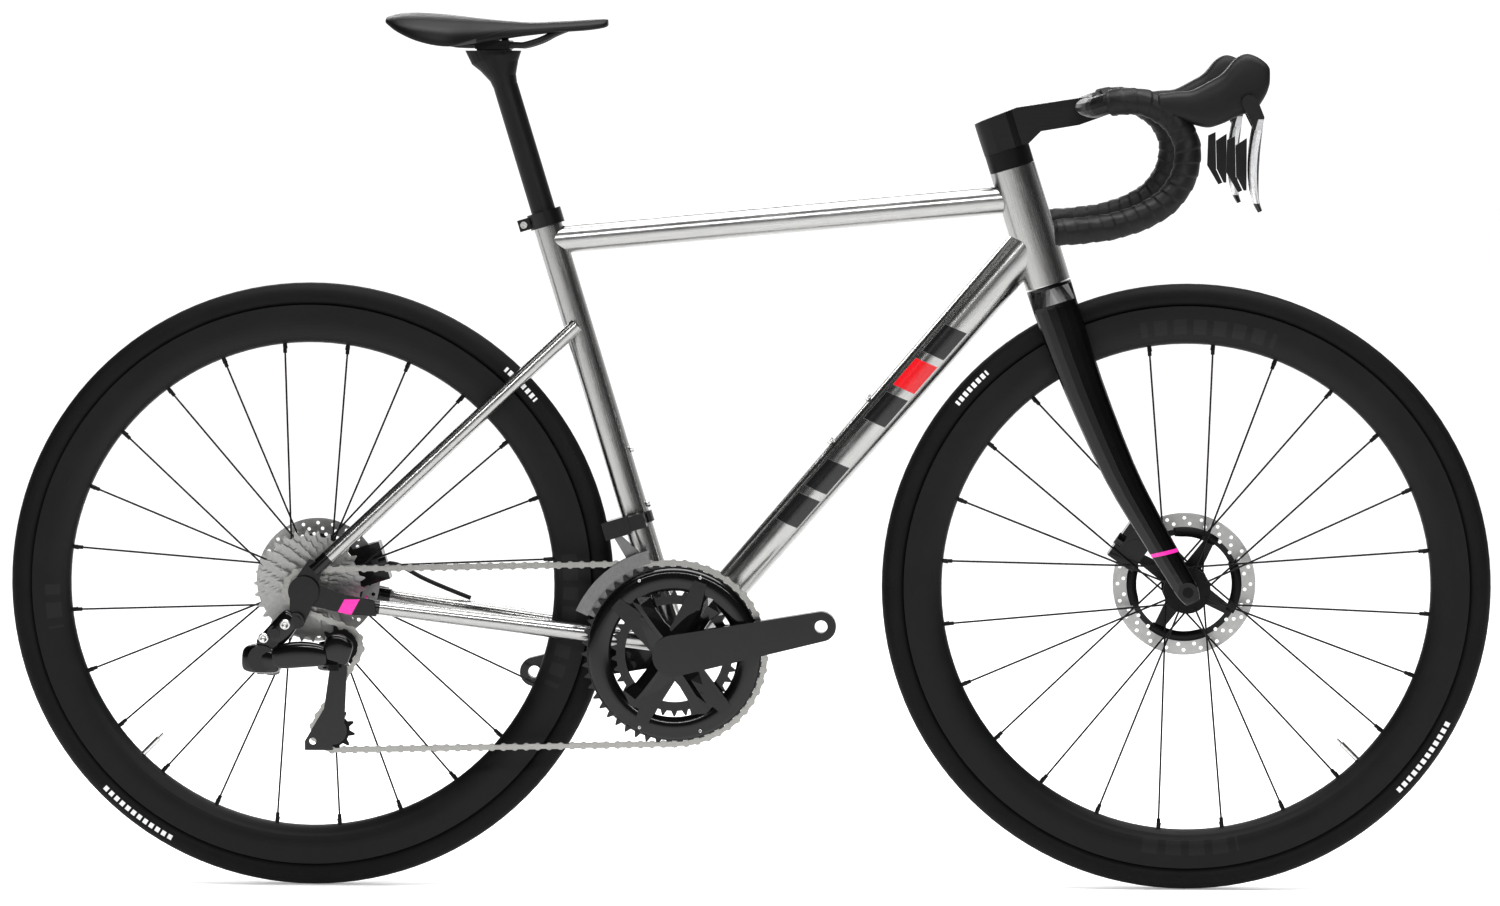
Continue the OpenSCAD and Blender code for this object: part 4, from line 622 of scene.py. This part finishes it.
# Hoods: moulded rubber covers over the lever bodies, with a tall horn in front and a fine pebbled
# grip all over. They stretch over the bracket and sit on the bar.
hood_finish, tree, shader = start_finish("hood_rubber")
place = object_place(tree)
pebbles = cells(tree, place, 1100.0)
cloud = noise(tree, place, 35.0, 5.0)
lift = ranged(tree, cloud, 0.42, 0.58)
feed(tree, shader, {"Base Color": mixed(tree, cloud, (0.006, 0.006, 0.006, 1), (0.011, 0.011, 0.011, 1)),
                    "Specular IOR Level": 0.3,
                    "Roughness": lift, "Normal": bump(tree, pebbles, 0.25, 0.0002)})
hood_sections = [(66, -8, 15, 14.5), (85, -12, 17.5, 15.5), (102, -17, 19, 16), (120, -21, 28, 16),
                 (135, -17, 37, 16), (148, -11, 52, 15.5), (160, -6, 58, 15), (172, -1, 55, 14),
                 (182, 14, 48, 12), (186, 26, 42, 9)]
for side, hand in ((-1, "right"), (1, "left")):
    rings = []
    dense = [(*p, q.x) for p, q in zip(smooth_line([s[:3] for s in hood_sections], 5),
                                       smooth_line([(s[3], 0, 0) for s in hood_sections], 5))]
    for ahead_by, low, high, half in dense:
        centre, tall = (low + high) / 2, (high - low) / 2
        ring = []
        for j in range(32):
            turn = 2 * math.pi * j / 32
            c, n = math.cos(turn), math.sin(turn)
            ring.append((bar_centre.x + ahead_by / 1000,
                         side * (bar_half + half / 1000 * math.copysign(abs(c) ** 0.72, c)),
                         bar_centre.z + (centre + tall * math.copysign(abs(n) ** 0.72, n)) / 1000))
        rings.append(ring)
    hood = skin(hand + "_hood", rings, hood_finish, smooth=1)
    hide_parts("brake_hoods")
    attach(hood, "steering")

# Saddle: a moulded shell with thin foam under a stretched black cover. The wings turn down at the
# sides, where a grey panel is bonded on, and a shallow relief runs along the middle.
saddle_finish, tree, shader = start_finish("saddle_cover")
place = object_place(tree)
ahead, aside, up = add(tree, "ShaderNodeSeparateXYZ", {0: place}).outputs
grain = cells(tree, place, 1300.0)
cloud = noise(tree, place, 22.0, 5.0)
post_top = Vector((-0.28107, 0, 0.93493))
wing_line = calc(tree, "SUBTRACT", up, calc(tree, "MULTIPLY", ahead, 0.32))
panel = calc(tree, "MULTIPLY", between(tree, wing_line, 1.030, 1.0445, 0.0003),
             between(tree, ahead, -0.351, -0.298, 0.0005))
seam = between(tree, wing_line, 1.0440, 1.0450, 0.0002)
printed = calc(tree, "MULTIPLY", between(tree, wing_line, 1.0345, 1.0375, 0.0002), between(
    tree, calc(tree, "FRACT", calc(tree, "MULTIPLY", ahead, 260.0)), 0.2, 0.75, 0.05))
printed = calc(tree, "MULTIPLY", printed, between(tree, ahead, -0.343, -0.318, 0.0003))
height = calc(tree, "SUBTRACT", grain, calc(tree, "MULTIPLY", seam, 3.0))
cover_tone = mixed(tree, cloud, (0.002, 0.002, 0.002, 1), (0.005, 0.005, 0.005, 1))
panel_tone = mixed(tree, printed, (0.055, 0.055, 0.058, 1), (0.6, 0.6, 0.6, 1))
feed(tree, shader, {"Base Color": mixed(tree, panel, cover_tone, panel_tone), "Specular IOR Level": 0.3,
                    "Roughness": ranged(tree, cloud, 0.36, 0.52),
                    "Normal": bump(tree, height, 0.25, 0.0003)})
saddle_sections = [(-119, 42, 39, 33), (-104, 60, 43, 22), (-79, 70, 44, 11), (-49, 69, 42, 5.5),
                   (-19, 52, 38.5, 9), (11, 36, 35.5, 15), (41, 27, 33.5, 19), (71, 22, 34, 22),
                   (101, 19, 35.5, 24), (121, 14, 36.5, 27), (126, 8, 36, 30)]
rings = []
dense = zip(smooth_line([s[:3] for s in saddle_sections], 5),
            smooth_line([(s[3], 0, 0) for s in saddle_sections], 5))
for (along_x, half, top), edge in dense:
    low, ring = edge.x, []
    relief = 2.2 * max(0.0, 1 - ((along_x + 20) / 85) ** 2)
    for j in range(25):
        turn = math.pi * j / 24
        y = half * math.cos(turn)
        z = low + (top - low) * math.sin(turn) ** 0.7 - relief * math.exp(-(y / 7) ** 2)
        ring.append((post_top.x + along_x / 1000, y / 1000, post_top.z + z / 1000))
    for j in range(24, -1, -1):
        turn = math.pi * j / 24
        y = (half - 4) * math.cos(turn)
        z = low - 0.5 + (top - low) * 0.7 * math.sin(turn) ** 0.7
        ring.append((post_top.x + along_x / 1000, y / 1000, post_top.z + z / 1000))
    rings.append(ring)
saddle = skin("saddle_cushion", rings, saddle_finish, smooth=1)
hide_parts("saddle")
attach(saddle, "seat")

# Studio: a pale paper floor, an overhead soft box, two long strips and a broad soft sun. The sky is
# pale at the horizon behind the bicycle and dark above and in front.
floor_mesh = bpy.data.meshes.new("studio_floor")
floor_mesh.from_pydata([(-30, -30, 0), (30, -30, 0), (30, 30, 0), (-30, 30, 0)], [], [(0, 1, 2, 3)])
floor = bpy.data.objects.new("studio_floor", floor_mesh)
bpy.context.scene.collection.objects.link(floor)
floor_finish, tree, shader = start_finish("studio_floor_paper")
mottle = noise(tree, object_place(tree), 3.0, 2.0)
feed(tree, shader, {"Base Color": mixed(tree, mottle, (0.86, 0.86, 0.86, 1), (0.88, 0.88, 0.88, 1)),
                    "Roughness": 0.95, "Specular IOR Level": 0.0, "Emission Color": (1, 1, 1, 1),
                    "Emission Strength": 0.34})
floor_mesh.materials.append(floor_finish)

world = bpy.data.worlds.new("studio_sky")
bpy.context.scene.world = world
world.use_nodes = True
tree = world.node_tree
sky_place = add(tree, "ShaderNodeTexCoord").outputs["Generated"]
ahead, aside, up = add(tree, "ShaderNodeSeparateXYZ", {0: sky_place}).outputs
behind = add(tree, "ShaderNodeMapRange", {"Value": aside, "From Min": -0.2, "From Max": 0.5}).outputs[0]
low = add(tree, "ShaderNodeMapRange", {"Value": up, "From Min": 0.14, "From Max": 0.34, "To Min": 1.0,
                                       "To Max": 0.0}).outputs[0]
pale = calc(tree, "MULTIPLY", low, calc(tree, "ADD", 0.10, calc(tree, "MULTIPLY", behind, 1.0)))
level = calc(tree, "ADD", 0.015, calc(tree, "MULTIPLY", pale, 0.97))
tree.links.new(level, tree.nodes["Background"].inputs[0])
tree.nodes["Background"].inputs[1].default_value = 1.0


def soft_box(name, place, aim, width, height, watts):
    lamp = bpy.data.lights.new(name, "AREA")
    lamp.shape = "RECTANGLE"
    lamp.size, lamp.size_y, lamp.energy = width, height, watts
    box = bpy.data.objects.new(name, lamp)
    bpy.context.scene.collection.objects.link(box)
    box.location = place
    box.rotation_euler = (Vector(aim) - Vector(place)).to_track_quat("-Z", "Y").to_euler()


soft_box("overhead_box", (0, -0.6, 2.7), (0, 0, 0.5), 3.2, 0.9, 70)
soft_box("front_strip", (0.2, -3.4, 2.3), (0, 0, 0.5), 3.4, 0.25, 60)
soft_box("back_strip", (-0.6, 2.6, 2.0), (0, 0, 0.6), 2.6, 0.4, 30)
sky_lamp = bpy.data.lights.new("paper_light", "SUN")
sky_lamp.energy, sky_lamp.angle = 2.4, math.radians(60)
sky_light = bpy.data.objects.new("paper_light", sky_lamp)
bpy.context.scene.collection.objects.link(sky_light)
sky_light.rotation_euler = (math.radians(-12), math.radians(8), 0)

bpy.context.scene.view_settings.view_transform = "Standard"
bpy.context.scene.view_settings.gamma = 0.82
camera_data = bpy.data.cameras.new("camera")
camera_data.lens = 125
camera_data.sensor_width = 36
camera = bpy.data.objects.new("camera", camera_data)
bpy.context.scene.collection.objects.link(camera)
camera.location = (0.218, -5.8, 0.912)
camera.rotation_euler = (Vector((0.0026, 0, 0.488)) - camera.location).to_track_quat("-Z", "Y").to_euler()
bpy.context.scene.camera = camera
